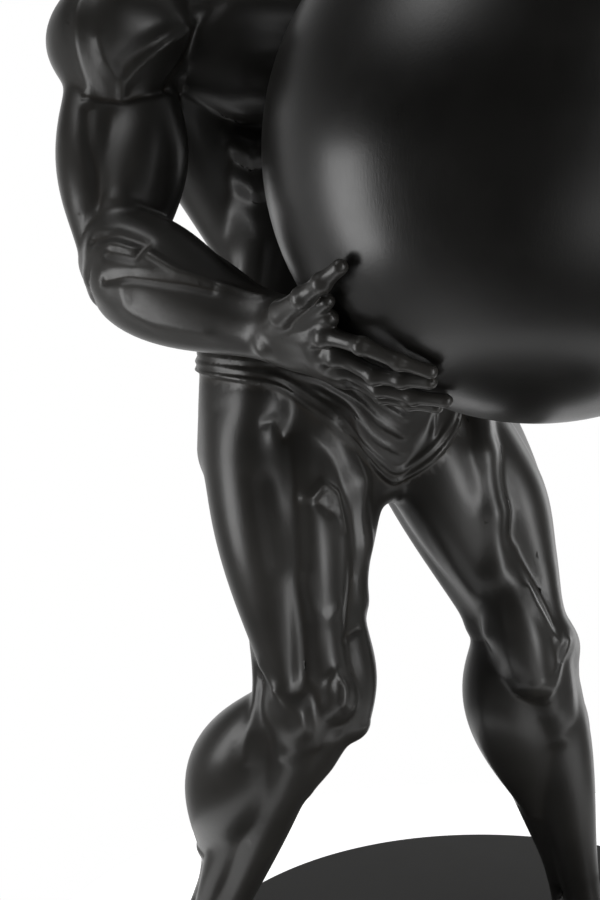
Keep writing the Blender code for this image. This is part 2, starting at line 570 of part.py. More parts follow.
def rough_body(forms, voxel):
    """Balls along every form, fused into one closed skin."""
    bm = bmesh.new()
    bmesh.ops.create_icosphere(bm, subdivisions=2, radius=1.0)
    ball = np.array([v.co for v in bm.verts])
    corners = np.array([[v.index for v in f.verts] for f in bm.faces])
    bm.free()
    centres = []
    for a, b, ra, rb, belly, _, _, _, peak in forms.rows:
        steps = max(2, int(np.linalg.norm(b - a) / (0.5 * min(ra, rb))) + 1)
        for i in range(steps):
            t = i / (steps - 1)
            radius = ra + (rb - ra) * t + belly * swell(t, peak)
            centres.append((*(a + (b - a) * t), radius * 0.96))
    centres = np.array(centres)
    points = (centres[:, None, :3] + ball[None] * centres[:, None, 3:]) * STATURE
    faces = corners[None] + len(ball) * np.arange(len(centres))[:, None, None]
    mesh = bpy.data.meshes.new("rough_body")
    mesh.from_pydata(points.reshape(-1, 3), [], faces.reshape(-1, 3))
    obj = bpy.data.objects.new("rough_body", mesh)
    bpy.context.scene.collection.objects.link(obj)
    fuse = obj.modifiers.new("fuse", "REMESH")
    fuse.mode = "VOXEL"
    fuse.voxel_size = voxel
    relax = obj.modifiers.new("relax", "SMOOTH")
    relax.iterations = 6
    graph = bpy.context.evaluated_depsgraph_get()
    fused = bpy.data.meshes.new_from_object(obj.evaluated_get(graph))
    bpy.data.objects.remove(obj, do_unlink=True)
    return fused


def settle(mesh, forms, rounds=4):
    """Moves each vertex of the fused skin onto the melted surface."""
    flat = np.empty(len(mesh.vertices) * 3)
    mesh.vertices.foreach_get("co", flat)
    p = flat.reshape(-1, 3) / STATURE
    for _ in range(rounds):
        move = forms.step(p)
        size = np.sqrt((move * move).sum(1))
        p = p + move * np.minimum(1.0, LONGEST_STEP / np.maximum(size, 1e-9))[:, None]
    dressed = np.flatnonzero(trunk_lift(p) > 0.0)
    p[dressed] += forms.outward(p[dressed]) * trunk_lift(p[dressed])[:, None]
    mesh.vertices.foreach_set("co", ((p * STATURE) + hips_origin()).ravel())
    mesh.update()


def globe_mesh(name, radius):
    bm = bmesh.new()
    bmesh.ops.create_uvsphere(bm, u_segments=GLOBE_SEGMENTS, v_segments=GLOBE_RINGS, radius=radius)
    mesh = bpy.data.meshes.new(name)
    bm.to_mesh(mesh)
    bm.free()
    mesh.shade_smooth()
    return mesh


def make_base(group):
    bm = bmesh.new()
    bmesh.ops.create_cone(bm, cap_ends=True, segments=BASE_SEGMENTS, radius1=BASE_DIAMETER / 2,
                          radius2=BASE_DIAMETER / 2, depth=BASE_THICKNESS)
    mesh = bpy.data.meshes.new("base")
    bm.to_mesh(mesh)
    bm.free()
    obj = make_object("base", mesh, group)
    obj.location.z = BASE_THICKNESS / 2
    edge = obj.modifiers.new("edge", "BEVEL")
    edge.width = BASE_EDGE_ROUND
    edge.segments = 2
    return obj


def make_globe(group, globe):
    obj = make_object("globe", globe_mesh("globe", GLOBE_DIAMETER / 2), group)
    obj.location = Vector(globe.centre * STATURE + hips_origin())
    return obj


def make_figure(group, cutters, globe):
    forms = body_forms(globe)
    mesh = rough_body(forms, FORM_VOXEL)
    settle(mesh, forms)
    mesh.name = "figure"
    obj = make_object("figure", mesh, group)
    thin = obj.modifiers.new("thin", "DECIMATE")
    thin.ratio = FIGURE_FACES_KEPT
    seat_mesh = globe_mesh("globe_seat", GLOBE_DIAMETER / 2 + JOINT_GAP)
    seat = cutter(make_object("globe_seat", seat_mesh, cutters))
    seat.location = Vector(globe.centre * STATURE + hips_origin())
    cut(obj, seat)
    cut(obj, floor_cutter(cutters))
    return obj


def floor_cutter(cutters):
    """A block whose top is just above the base, so that the soles are cut flat."""
    bm = bmesh.new()
    bmesh.ops.create_cube(bm, size=BLOCK_SIDE)
    mesh = bpy.data.meshes.new("floor_cut")
    bm.to_mesh(mesh)
    bm.free()
    block = cutter(make_object("floor_cut", mesh, cutters))
    block.location.z = BASE_THICKNESS + JOINT_GAP - BLOCK_SIDE / 2
    return block


def main():
    clear_scene()
    group = collection("atlas_statue")
    cutters = collection("cutters")
    globe = Globe()
    pieces = (make_base(group), make_globe(group, globe), make_figure(group, cutters, globe))
    black = finish("black_satin", (0.012, 0.011, 0.010), 0.38)
    for obj in pieces:
        obj.data.materials.clear()
        obj.data.materials.append(black)


main()
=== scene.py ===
"""Looks of the statuette: the fine figure, globe and disc, their finish, light and camera."""
import math

import bmesh
import bpy
import numpy as np
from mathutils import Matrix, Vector


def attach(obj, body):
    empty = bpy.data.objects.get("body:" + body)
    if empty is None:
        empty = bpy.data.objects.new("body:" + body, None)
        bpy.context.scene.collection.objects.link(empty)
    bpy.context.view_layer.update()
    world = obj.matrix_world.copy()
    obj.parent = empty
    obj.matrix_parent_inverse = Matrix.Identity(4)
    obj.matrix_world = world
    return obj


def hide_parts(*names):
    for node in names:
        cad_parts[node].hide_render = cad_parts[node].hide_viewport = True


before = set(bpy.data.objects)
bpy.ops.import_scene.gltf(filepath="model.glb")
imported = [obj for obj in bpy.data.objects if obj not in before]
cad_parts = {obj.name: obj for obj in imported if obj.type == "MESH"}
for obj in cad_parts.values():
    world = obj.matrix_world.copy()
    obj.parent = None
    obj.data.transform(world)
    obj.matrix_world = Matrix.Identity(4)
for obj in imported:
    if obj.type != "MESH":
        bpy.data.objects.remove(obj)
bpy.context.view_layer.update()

# Driving dimensions, in metres
STATURE = 0.500            # the figure's height if it stood straight; its forms are shares of this
GLOBE_DIAMETER = 0.184
BASE_DIAMETER = 0.290
BASE_THICKNESS = 0.008
BASE_EDGE_ROUND = 0.0015
JOINT_GAP = 0.0003         # between pieces that touch

# Mesh fineness
FORM_VOXEL = 0.0010   # metres
FIGURE_TRIANGLES = 190000
GLOBE_SUBDIVISIONS = 6
RIM_SEGMENTS = 192
RIM_STEPS = 8
DISC_RINGS = (0.94, 0.80, 0.60, 0.40, 0.20)     # shares of the disc's radius
FLOOR_SEGMENTS = 96
BALL_SPACING = 0.5         # of a form's least radius, between the balls fused along it
BALL_SHARE = 0.96          # of the form's own radius there
RELAX_ROUNDS = 8

# Pose, in shares of the stature, measured from the middle of the hips
HIP_HEIGHT = 0.487
HIP_HALF = 0.066
ANKLE_HEIGHT = 0.043
LEG_SLACK = 0.029          # how much longer a leg is than its drop from hip to ankle
THIGH_SHARE = 0.484        # of the leg, from the hip to the knee
CHEST = (-0.015, 0.062, 0.215)
NECK = (-0.012, 0.078, 0.315)
HEAD = (-0.006, 0.050, 0.395)
HIPS_ON_BASE = (-0.0865, 0.124)
SHOULDER_RIGHT = (-0.155, 0.071, 0.288)
SHOULDER_LEFT = (0.124, 0.068, 0.288)
KNEE_AIM_RIGHT = (0.14, -1.0, 0.0)
KNEE_AIM_LEFT = (0.02, -1.0, 0.0)
ANKLE_RIGHT = (-0.128, 0.016)
KNEE_FRONT_RIGHT = (0.22, -0.975, 0.0)
KNEE_FRONT_LEFT = (0.28, -0.96, 0.0)
STRAP_RIGHT = 1.0          # thickness of the strap muscle that crosses the thigh
STRAP_LEFT = 0.8
ANKLE_LEFT = (0.172, -0.106)
TOES_RIGHT = (-0.12, -1.0, 0.0)
TOES_LEFT = (0.66, -0.75, 0.0)
UPPER_ARM_LENGTH = 0.188
FOREARM_LENGTH = 0.150
ELBOW_AIM_RIGHT = (-0.68, 0.28, -1.0)
ELBOW_AIM_LEFT = (0.60, 0.25, -1.0)

# The globe rests against the chest, its centre in front of and just below it
GLOBE_BACK_POINT = (0.012, -0.0215, 0.208)
WRIST_RIGHT_SIDE = (-0.745, 0.33, -0.580)
FINGERS_RIGHT_SIDE = (-0.55, -0.45, -0.66)
WRIST_LEFT_SIDE = (0.765, 0.33, -0.555)
FINGERS_LEFT_SIDE = (0.55, -0.45, -0.66)
ARMS = ((-1, SHOULDER_RIGHT, WRIST_RIGHT_SIDE, FINGERS_RIGHT_SIDE, ELBOW_AIM_RIGHT),
        (1, SHOULDER_LEFT, WRIST_LEFT_SIDE, FINGERS_LEFT_SIDE, ELBOW_AIM_LEFT))
WRIST_LIFT = 0.024
FINGER_LIFT = 0.0085
# Radius of each finger, then its knuckle, joints and tip as arcs along and across the globe
FINGERS = ((0.0062, (0.060, -0.026), (0.092, -0.028), (0.112, -0.014), (0.128, -0.003)),
           (0.0065, (0.062, -0.008), (0.088, 0.003), (0.104, 0.007), (0.122, 0.009)),
           (0.0062, (0.056, 0.010), (0.080, 0.022), (0.100, 0.030), (0.121, 0.034)),
           (0.0056, (0.048, 0.026), (0.070, 0.038), (0.086, 0.045), (0.104, 0.049)))
# The thumb's root, joints and tip: arcs along and across, and the lift
THUMB = ((0.030, -0.038, 0.023), (0.056, -0.060, 0.018), (0.070, -0.072, 0.012), (0.081, -0.083, 0.007))

# Trunks: FORK is the place, sideways and up, where the two hems meet
FORK = (0.001, -0.056)
HEM_ROUND = 0.009
HEM_SLOPE = 0.98
HEM_TOP = 0.033
HEM_BEND = 0.009
HEM_EDGE = 0.003
HEM_ROLLS = (0.0030, 0.0095)
HEM_ROLL_WIDTH = 0.0022
HEM_ROLL_HEIGHT = 0.0018
TRUNK_THICKNESS = 0.0020
TRUNK_FRONT = -0.105
TRUNK_SIDE = 0.17
WAIST_HEIGHT = 0.058

LONGEST_STEP = 0.006
SHORTEST = 0.0001          # length of a form that is only a ball
REACH = 0.03               # beyond its radius, how far a form is felt
SMOOTH = 0.0060            # how far the broad masses melt together
BROAD = 0.0042             # how far the long muscles of the thigh melt together
SOFT = 0.0026              # how far neighbouring muscles melt together
FIRM = 0.0015              # the same for the hands, feet and face
STEEPEST = 60.0            # largest exponent of a form's weight
LEAST_WEIGHT = 1e-30
TINY = 1e-9                # keeps a division from failing

# Curls, on a scalp of the given middle and half axes; they end below that middle
CURLS = 240
SCALP_MIDDLE = (0, 0.010, 0.026)
SCALP_REACH = (0.0450, 0.0560, 0.0520)
CURL_DROP = 1.45           # from the top, in shares of the scalp's half height
CURL_RADIUS = 0.0056
CURL_CHANGE = 0.0008
SPIRAL_SHARE = 3.0 - math.sqrt(5.0)

# Folds of the trunks, which fan out from the hips
FOLD_ROOT = (0.115, 0.045)
FOLD_RATE = 740.0
FOLD_HEIGHT = 0.0016
FOLD_SPREAD = (0.55, 0.65)     # how far apart they are at the root, and how much more farther out
FOLD_FAN = 0.10
UPRIGHT_FOLDS = ((0.020, 0.16), (0.031, 0.30))  # place beside the fork and lean
UPRIGHT_WIDTH = 0.0030

# Relief on the limbs: width and height (below zero for a groove) in shares of the stature, then
# the places that a line goes through, each a turn round the bone from its front outwards, in
# radians, and a share of the bone's length
LIMB_REACH = 0.085
RELIEF_FADE = 0.010
LEAST_LIFT = 0.00005
SETTLING_ROUNDS = 5
ARM_LINES = (
    # Lower edge of the shoulder cap, the edge of its front head, and the line beside the chest
    (0.0035, -0.0022, (1.85, 0.37), (1.18, 0.385), (0.59, 0.36), (0.17, 0.31)),
    (0.0035, 0.0024, (1.16, 0.37), (1.11, 0.34), (0.91, 0.29), (0.58, 0.21), (0.22, 0.09)),
    (0.0060, -0.0018, (1.10, 0.27), (0.80, 0.21), (0.42, 0.12)),
    (0.0040, -0.0025, (0.17, 0.30), (0.08, 0.19), (0.04, 0.07), (-0.03, -0.04)),
    # Its middle and rear heads
    (0.0040, 0.0013, (1.38, 0.20), (1.36, 0.27), (1.21, 0.33)),
    (0.0050, 0.0016, (1.56, 0.06), (1.68, 0.25), (1.82, 0.38)),
    # Groove between the two muscles of the upper arm
    (0.0045, -0.0018, (1.80, 0.43), (1.77, 0.55), (1.66, 0.68), (1.64, 0.80)),
)
FOREARM_LINES = (
    # Fold against the upper arm, the hollow by the elbow, and the two long muscles' edges
    (0.0040, 0.0013, (0.96, -0.18), (0.77, -0.12), (0.55, 0.05), (0.56, 0.24)),
    (0.0045, -0.0024, (1.39, -0.05), (1.19, 0.10), (1.17, 0.27), (1.45, 0.26), (1.52, 0.10)),
    (0.0032, 0.0022, (1.30, 0.32), (1.37, 0.49), (1.28, 0.64), (0.88, 0.89)),
    (0.0038, -0.0024, (1.99, 0.14), (1.77, 0.28), (1.60, 0.48), (1.35, 0.67)),
    (0.0060, 0.0014, (2.00, 0.26), (2.30, 0.30), (2.45, 0.45), (2.43, 0.70)),
)
RELIEF = {
    "upper arm": ARM_LINES,
    "forearm": FOREARM_LINES,
    "right thigh": (
        # Valley beside the long front muscle and the hollows outside it
        (0.0075, -0.0024, (0.69, 0.10), (0.68, 0.31), (0.69, 0.51), (0.72, 0.77), (0.82, 0.93)),
        (0.0085, -0.0018, (1.06, 0.26), (1.02, 0.39), (0.98, 0.52)),
        (0.0040, -0.0016, (0.97, 0.06), (0.87, 0.05), (0.79, 0.11)),
        # Hooked upper end of that muscle, its rounded lower end and the strap inside it
        (0.0036, 0.0024, (0.60, 0.31), (0.49, 0.31), (0.34, 0.27), (0.15, 0.30), (0.08, 0.42)),
        (0.0045, -0.0018, (0.40, 0.33), (0.28, 0.36)),
        (0.0050, 0.0014, (0.64, 0.56), (0.64, 0.62), (0.55, 0.69), (0.36, 0.71), (0.13, 0.67)),
        (0.0035, -0.0018, (-0.05, 0.78), (-0.38, 0.75)),
        (0.0040, 0.0013, (-0.20, 0.12), (-0.32, 0.39), (-0.49, 0.65)),
        (0.0050, 0.0018, (1.55, 0.85), (1.25, 0.93)),
    ),
    "right shank": (
        # Rim of the kneecap, the hollow below it, and the bands outside the knee
        (0.0034, 0.0026, (0.50, -0.17), (0.32, -0.20), (0.10, -0.17), (0.14, -0.13)),
        (0.0075, -0.0034, (0.69, -0.12), (0.57, -0.05), (0.54, 0.0)),
        (0.0050, 0.0022, (1.54, -0.09), (0.93, -0.07), (0.38, 0.03)),
        (0.0045, 0.0014, (2.16, -0.03), (1.85, 0.06), (1.53, 0.17)),
    ),
    "left thigh": (
        (0.0045, 0.0022, (-0.41, 0.75), (-0.40, 0.82), (-0.26, 0.96)),
        (0.0090, 0.0012, (-0.38, 0.32), (-0.48, 0.49), (-0.72, 0.69)),
    ),
    "left shank": (
        (0.0040, 0.0022, (-0.02, -0.07), (-0.27, 0.0), (-0.70, 0.10)),
    ),
}

# Camera, in shares of the stature from the hips; its height is above the disc
CAMERA_FROM_HIPS = (-0.669, -1.0687, 0.74)
CAMERA_PITCH = 13.0
CAMERA_TURN = -30.0
LENS = 64.0
SENSOR = 36.0

# Light: the studio's brightness by how far a direction faces the viewer and by its height,
# and soft patches of light, each with its direction, the sines of its half angles and its strength
SEEN_FROM = (-0.49, -0.85, 0.19)
SKY_FACING = ((0.0, (1.0, 1.0, 1.0)), (0.10, (0.90, 0.90, 0.90)), (0.25, (0.32, 0.32, 0.32)),
              (0.50, (0.16, 0.16, 0.16)), (0.68, (0.09, 0.09, 0.09)), (1.0, (0.06, 0.06, 0.06)))
SKY_HEIGHT = ((0.0, (0.5, 0.5, 0.5)), (0.30, (0.8, 0.8, 0.8)), (0.50, (1.0, 1.0, 1.0)),
              (0.58, (0.7, 0.7, 0.7)), (0.68, (0.30, 0.30, 0.30)), (1.0, (0.25, 0.25, 0.25)))
LIGHTS = (
    ((-0.10, -0.91, -0.41), 0.24, 0.24, 1.2),   # front, low
    ((0.25, -0.95, 0.12), 0.16, 0.35, 7.0),     # front, right
    ((-0.55, 0.20, 0.81), 0.22, 0.22, 3.2),     # upper left
    ((-0.43, 0.10, -0.90), 0.30, 0.30, 0.6),    # low left
    ((0.95, 0.10, 0.15), 0.20, 0.50, 3.0),      # right, beside the piece
)
# Softboxes close to the piece: place, aim, width, height and power
SOFTBOXES = (
    ("left_key", (-0.37, 0.08, 0.25), (-0.06, -0.02, 0.27), 0.12, 0.22, 0.37),
)

# Floor and paint
FLOOR_RADIUS = 0.22
FLOOR_GLOW = 0.85
FLOOR_TONE = 0.92
PAINT = (1.0, 0.95, 0.86)
MOTTLE_SCALE = 34.0
GRAIN_SCALE = 900.0
HAIR_SCALE = 1500.0
ARC_SCALE = 1100.0
GRAIN_DEPTH = 0.00006
HAIR_DEPTH = 0.00008
COAT = (0.18, 0.22)            # weight and roughness
# Roughness, tone, strength of the brush marks, and whether its hollows hold dust
FINISHES = {
    "figure": (0.35, 0.023, 0.22, True),
    "globe": (0.30, 0.009, 0.25, False),
    "disc": (0.42, 0.014, 0.16, False),
}


def unit(v):
    v = np.asarray(v, float)
    return v / np.linalg.norm(v)


def swell(t, peak):
    """Rises from nought to one at the peak and falls back to nought."""
    return np.sin(math.pi * t ** (math.log(0.5) / math.log(peak)))


class Frame:
    """A bone: z runs along it, y is its front, x its outer side."""

    def __init__(self, start, end, front, side):
        self.start = np.asarray(start, float)
        self.end = np.asarray(end, float)
        self.length = np.linalg.norm(self.end - self.start)
        self.z = unit(self.end - self.start)
        front = np.asarray(front, float)
        self.y = unit(front - self.z * front.dot(self.z))
        across = np.cross(self.y, self.z)
        self.x = across if across[0] * side > 0 else -across

    def at(self, x, y, t):
        return self.start + self.x * x + self.y * y + self.z * (t * self.length)


class Forms:
    """The body as rounded forms that melt together where they meet."""

    def __init__(self):
        self.rows = []

    def add(self, a, b, ra, rb, belly=0.0, flat=1.0, across=(0, 0, 1), soft=SOFT, peak=0.5):
        a = np.asarray(a, float)
        b = np.asarray(b, float)
        self.rows.append((a, b, ra, rb, belly, flat, unit(across), soft, peak))

    def ball(self, c, r, flat=1.0, across=(0, 0, 1), soft=SOFT):
        c = np.asarray(c, float)
        self.add(c, c + (0.0, 0.0, SHORTEST), r, r, 0.0, flat, across, soft)

    def path(self, points, radii, soft=SOFT):
        for a, b, ra, rb in zip(points, points[1:], radii, radii[1:]):
            self.add(a, b, ra, rb, soft=soft)

    def pull(self, p):
        """How far inside the melted surface each point is, and the slope outwards."""
        weight = np.full(len(p), LEAST_WEIGHT)
        slope = np.zeros_like(p)
        for a, b, ra, rb, belly, flat, n, soft, peak in self.rows:
            reach = np.linalg.norm(b - a) / 2 + max(ra, rb) + belly + REACH
            near = np.flatnonzero(((p - (a + b) / 2) ** 2).sum(1) < reach * reach)
            if not len(near):
                continue
            ab = b - a
            q = p[near] - a
            t = np.clip(q @ ab / ab.dot(ab), 0.0, 1.0)
            r = ra + (rb - ra) * t + belly * swell(t, peak)
            q = q - t[:, None] * ab
            q = q + np.outer((q @ n) * (1.0 / flat - 1.0), n)
            size = np.sqrt((q * q).sum(1)) + TINY
            g = (q + np.outer((q @ n) * (1.0 / flat - 1.0), n)) / size[:, None]
            steep = np.sqrt((g * g).sum(1)) + TINY
            w = np.exp(np.clip((r - size) / steep / soft, -STEEPEST, STEEPEST))
            weight[near] += w
            slope[near] += g * (w / steep / soft)[:, None]
        return np.log(weight), slope / weight[:, None]

    def step(self, p):
        """The move that takes each point onto the melted surface."""
        depth, slope = self.pull(p)
        return slope * (depth / np.maximum((slope * slope).sum(1), TINY))[:, None]

    def outward(self, p):
        slope = self.pull(p)[1]
        return slope / np.maximum(np.sqrt((slope * slope).sum(1)), TINY)[:, None]


def bend(start, end, first, second, aim):
    """The middle joint of a two-bone limb from start to end, pushed towards aim."""
    start = np.asarray(start, float)
    line = np.asarray(end, float) - start
    span = np.linalg.norm(line)
    stretch = max(1.0, span / (first + second) * 1.001)
    first, second = first * stretch, second * stretch
    along = (first ** 2 - second ** 2 + span ** 2) / (2 * span)
    out = math.sqrt(max(first ** 2 - along ** 2, 0.0))
    line = unit(line)
    aim = np.asarray(aim, float)
    return start + line * along + unit(aim - line * aim.dot(line)) * out


class Globe:
    """The globe in shares of the stature, with arcs drawn over its surface."""

    def __init__(self):
        self.radius = GLOBE_DIAMETER / 2 / STATURE
        self.centre = np.asarray(GLOBE_BACK_POINT) - (0.0, self.radius, 0.0)

    def over(self, start, toward, along, across, lift):
        """A point at the given arc lengths from start, lifted off the surface."""
        start = unit(start)
        ahead = unit(np.asarray(toward) - start * start.dot(toward))
        side = np.cross(start, ahead)
        arc = math.hypot(along, across)
        turn = arc / (self.radius + lift)
        way = (ahead * along + side * across) / max(arc, TINY)
        out = start * math.cos(turn) + way * math.sin(turn)
        return self.centre + out * (self.radius + lift)


def thigh_forms(forms, hip, knee, front, side, strap):
    bone = Frame(hip, knee, front, side)
    u = bone.at
    add = forms.add
    add(u(0, 0, 0.05), u(0, 0, 1), 0.044, 0.029, soft=BROAD)
    # Front: the long middle muscle, the outer one and the inner teardrop
    add(u(0.016, 0.028, 0.00), u(0.008, 0.032, 0.92), 0.014, 0.008, 0.019, soft=BROAD, peak=0.46)
    add(u(0.018, 0.034, 0.22), u(0.016, 0.034, 0.72), 0.012, 0.010, 0.015, peak=0.45)
    add(u(0.043, 0.004, -0.02), u(0.028, 0.014, 0.94), 0.022, 0.009, 0.018, soft=BROAD, peak=0.46)
    add(u(0.047, -0.004, 0.00), u(0.032, 0.000, 0.80), 0.020, 0.010, 0.013, soft=BROAD, peak=0.42)
    add(u(-0.018, 0.030, 0.62), u(-0.027, 0.022, 1.06), 0.012, 0.015, 0.009, peak=0.60)
    # Inner side and back
    add(u(-0.040, 0.014, -0.02), u(-0.022, 0.008, 0.80), 0.029, 0.012, 0.017, soft=BROAD, peak=0.42)
    add(u(0.020, -0.026, 0.00), u(0.018, -0.014, 0.92), 0.024, 0.006, 0.011, soft=BROAD, peak=0.38)
    add(u(-0.020, -0.030, 0.00), u(-0.018, -0.014, 0.94), 0.024, 0.006, 0.011, soft=BROAD, peak=0.34)
    # The strap muscle that crosses from the hip to the inside of the knee
    points = (u(0.034, 0.034, -0.16), u(0.004, 0.048, 0.06), u(-0.016, 0.048, 0.26),
              u(-0.024, 0.040, 0.46), u(-0.030, 0.028, 0.66), u(-0.034, 0.010, 0.86),
              u(-0.028, 0.004, 1.06))
    radii = (0.010, 0.013, 0.014, 0.013, 0.011, 0.009, 0.007)
    forms.path(points, [r * strap for r in radii], soft=BROAD)
    add(u(0.036, 0.024, -0.20), u(0.050, 0.010, 0.22), 0.014, 0.009, 0.013, soft=BROAD, peak=0.45)


def knee_forms(forms, hip, knee, ankle, front, side):
    thigh = Frame(hip, knee, front, side)
    shank = Frame(knee, ankle, front, side)
    u, s = thigh.at, shank.at
    add, ball = forms.add, forms.ball
    for x in (-0.016, 0.016):
        ball(u(x, 0.010, 1.0), 0.025, soft=BROAD)
    # Kneecap with its tendons, above and below
    ball(u(0.001, 0.035, 0.97), 0.0170, flat=0.78, across=thigh.y, soft=SOFT)
    add(u(0.004, 0.032, 0.78), u(0.001, 0.035, 0.94), 0.011, 0.012, soft=BROAD)
    add(s(0.0, 0.031, 0.02), s(-0.001, 0.025, 0.20), 0.0085, 0.0090, 0.001)
    add(s(-0.012, 0.022, 0.03), s(-0.009, 0.018, 0.26), 0.0150, 0.0110, 0.002, soft=BROAD)
    for x in (-0.016, 0.016):
        add(s(x, 0.018, 0.01), s(x * 0.8, 0.016, 0.14), 0.015, 0.014, soft=BROAD)
    # Outer band and the two tendons behind
    add(u(0.036, 0.008, 0.62), s(0.024, 0.018, 0.09), 0.008, 0.007)
    add(u(0.024, -0.016, 0.80), s(0.030, -0.006, 0.08), 0.008, 0.008)
    add(u(-0.022, -0.018, 0.84), s(-0.024, 0.000, 0.10), 0.008, 0.007, soft=BROAD)


def shank_forms(forms, knee, ankle, front, side):
    bone = Frame(knee, ankle, front, side)
    s = bone.at
    add, ball = forms.add, forms.ball
    add(s(0, 0.002, 0), s(0, 0, 0.98), 0.026, 0.015)
    add(s(-0.004, 0.018, 0.12), s(-0.004, 0.008, 0.92), 0.009, 0.006, 0.003)
    add(s(0.012, 0.014, 0.08), s(0.002, 0.010, 0.84), 0.012, 0.006, 0.011, peak=0.35)
    add(s(0.023, -0.002, 0.08), s(0.014, -0.008, 0.94), 0.011, 0.006, 0.009, peak=0.35)
    # Calf, in two heads over the deeper muscle
    add(s(-0.016, -0.016, -0.10), s(-0.016, -0.016, 0.56), 0.014, 0.010, 0.026, peak=0.42)
    add(s(0.018, -0.016, -0.02), s(0.014, -0.026, 0.66), 0.010, 0.011, 0.033, peak=0.50)
    add(s(0.004, -0.024, 0.10), s(0, -0.018, 0.86), 0.018, 0.010, 0.014, peak=0.36)
    add(s(0, -0.022, 0.60), s(0, -0.026, 1.06), 0.009, 0.008)
    ball(s(-0.017, 0.002, 0.975), 0.0105, soft=FIRM)
    ball(s(0.018, -0.002, 1.0), 0.0105, soft=FIRM)


def leg_joints(side, spot, aim):
    """Hip, knee and ankle; the ankle stands over the given spot."""
    length = HIP_HEIGHT - ANKLE_HEIGHT + LEG_SLACK
    hip = np.array((side * HIP_HALF, 0.0, 0.0))
    ankle = np.array((*spot, ANKLE_HEIGHT - HIP_HEIGHT))
    knee = bend(hip, ankle, length * THIGH_SHARE, length * (1.0 - THIGH_SHARE), aim)
    return hip, knee, ankle


def leg(forms, side, spot, aim, front, toes, strap):
    hip, knee, ankle = leg_joints(side, spot, aim)
    thigh_forms(forms, hip, knee, front, side, strap)
    knee_forms(forms, hip, knee, ankle, front, side)
    shank_forms(forms, knee, ankle, front, side)
    foot(forms, side, ankle, toes)


def foot(forms, side, ankle, toes):
    ahead = unit(toes)
    out = np.cross(ahead, (0, 0, 1.0))
    out = out if out[0] * side > 0 else -out

    def f(x, y, z):
        p = np.asarray(ankle) + ahead * y + out * x
        p[2] = z - HIP_HEIGHT
        return p

    add = forms.add
    add(f(0, -0.028, 0.017), f(0, -0.004, 0.038), 0.0185, 0.019)
    add(f(-0.002, 0.000, 0.038), f(-0.010, 0.078, 0.013), 0.020, 0.0125)
    add(f(0.008, -0.015, 0.013), f(0.020, 0.070, 0.009), 0.015, 0.011)
    add(f(-0.008, -0.010, 0.026), f(-0.016, 0.080, 0.012), 0.013, 0.0135)
    for i in range(4):
        add(f(-0.008 + 0.008 * i, 0.030, 0.034 - 0.005 * i), f(-0.014 + 0.010 * i, 0.080, 0.019 - 0.002 * i),
            0.004, 0.005, soft=FIRM)
    for i in range(5):
        x = -0.021 + 0.0118 * i
        reach = 0.118 - 0.003 * i - 0.0015 * i * i
        r = 0.0100 if i == 0 else 0.0074 - 0.0003 * i
        bent = f(x, reach - r * 3.0, r * 1.25)
        end = f(x * 1.02, reach - r, r * 0.78)
        add(f(x * 0.86, 0.076 - 0.003 * i, 0.011), bent, r, r * 0.92, soft=FIRM / 2)
        add(bent, end, r * 0.92, r, soft=FIRM / 2)
        forms.ball(end + (0, 0, r * 0.62) + ahead * r * 0.25, r * 0.62, flat=0.5, soft=FIRM / 4)


def arm_joints(globe, shoulder, wrist_side, finger_side, aim):
    """Elbow and wrist; the wrist lies over the globe."""
    wrist = globe.over(wrist_side, finger_side, 0.0, 0.0, WRIST_LIFT)
    return bend(shoulder, wrist, UPPER_ARM_LENGTH, FOREARM_LENGTH, aim), wrist


def arm(forms, globe, side, shoulder, wrist_side, finger_side, aim):
    elbow, wrist = arm_joints(globe, shoulder, wrist_side, finger_side, aim)
    upper_arm_forms(forms, shoulder, elbow, wrist, side)
    forearm_forms(forms, shoulder, elbow, wrist, side)
    hand(forms, globe, side, wrist_side, finger_side)


def upper_arm_forms(forms, shoulder, elbow, wrist, side):
    bone = Frame(shoulder, elbow, wrist - np.asarray(shoulder), side)
    u = bone.at
    add, ball = forms.add, forms.ball
    # Shoulder cap, in three blunt heads that overhang the arm
    ball(u(0.000, 0.0, -0.04), 0.041, soft=SMOOTH)
    add(u(0.014, 0.024, -0.10), u(0.016, 0.008, 0.38), 0.022, 0.009, 0.020, soft=BROAD, peak=0.46)
    add(u(0.034, 0.001, -0.10), u(0.022, 0.000, 0.38), 0.026, 0.010, 0.021, soft=BROAD, peak=0.46)
    add(u(0.024, -0.022, -0.10), u(0.016, -0.010, 0.36), 0.023, 0.010, 0.021, soft=BROAD, peak=0.46)
    # Upper arm
    add(u(0.002, -0.002, 0.1), u(0, 0, 1.0), 0.027, 0.024)
    add(u(-0.002, 0.014, 0.20), u(0.0, 0.014, 0.96), 0.014, 0.011, 0.019, peak=0.48)
    add(u(0.014, 0.006, 0.40), u(0.014, 0.010, 1.0), 0.009, 0.011, 0.008, soft=BROAD)
    add(u(-0.010, -0.020, 0.05), u(-0.004, -0.014, 0.92), 0.016, 0.010, 0.016, peak=0.46)
    add(u(0.018, -0.022, 0.14), u(0.010, -0.018, 0.96), 0.016, 0.010, 0.016, peak=0.52)
    ball(u(0.002, -0.012, 0.98), 0.020)


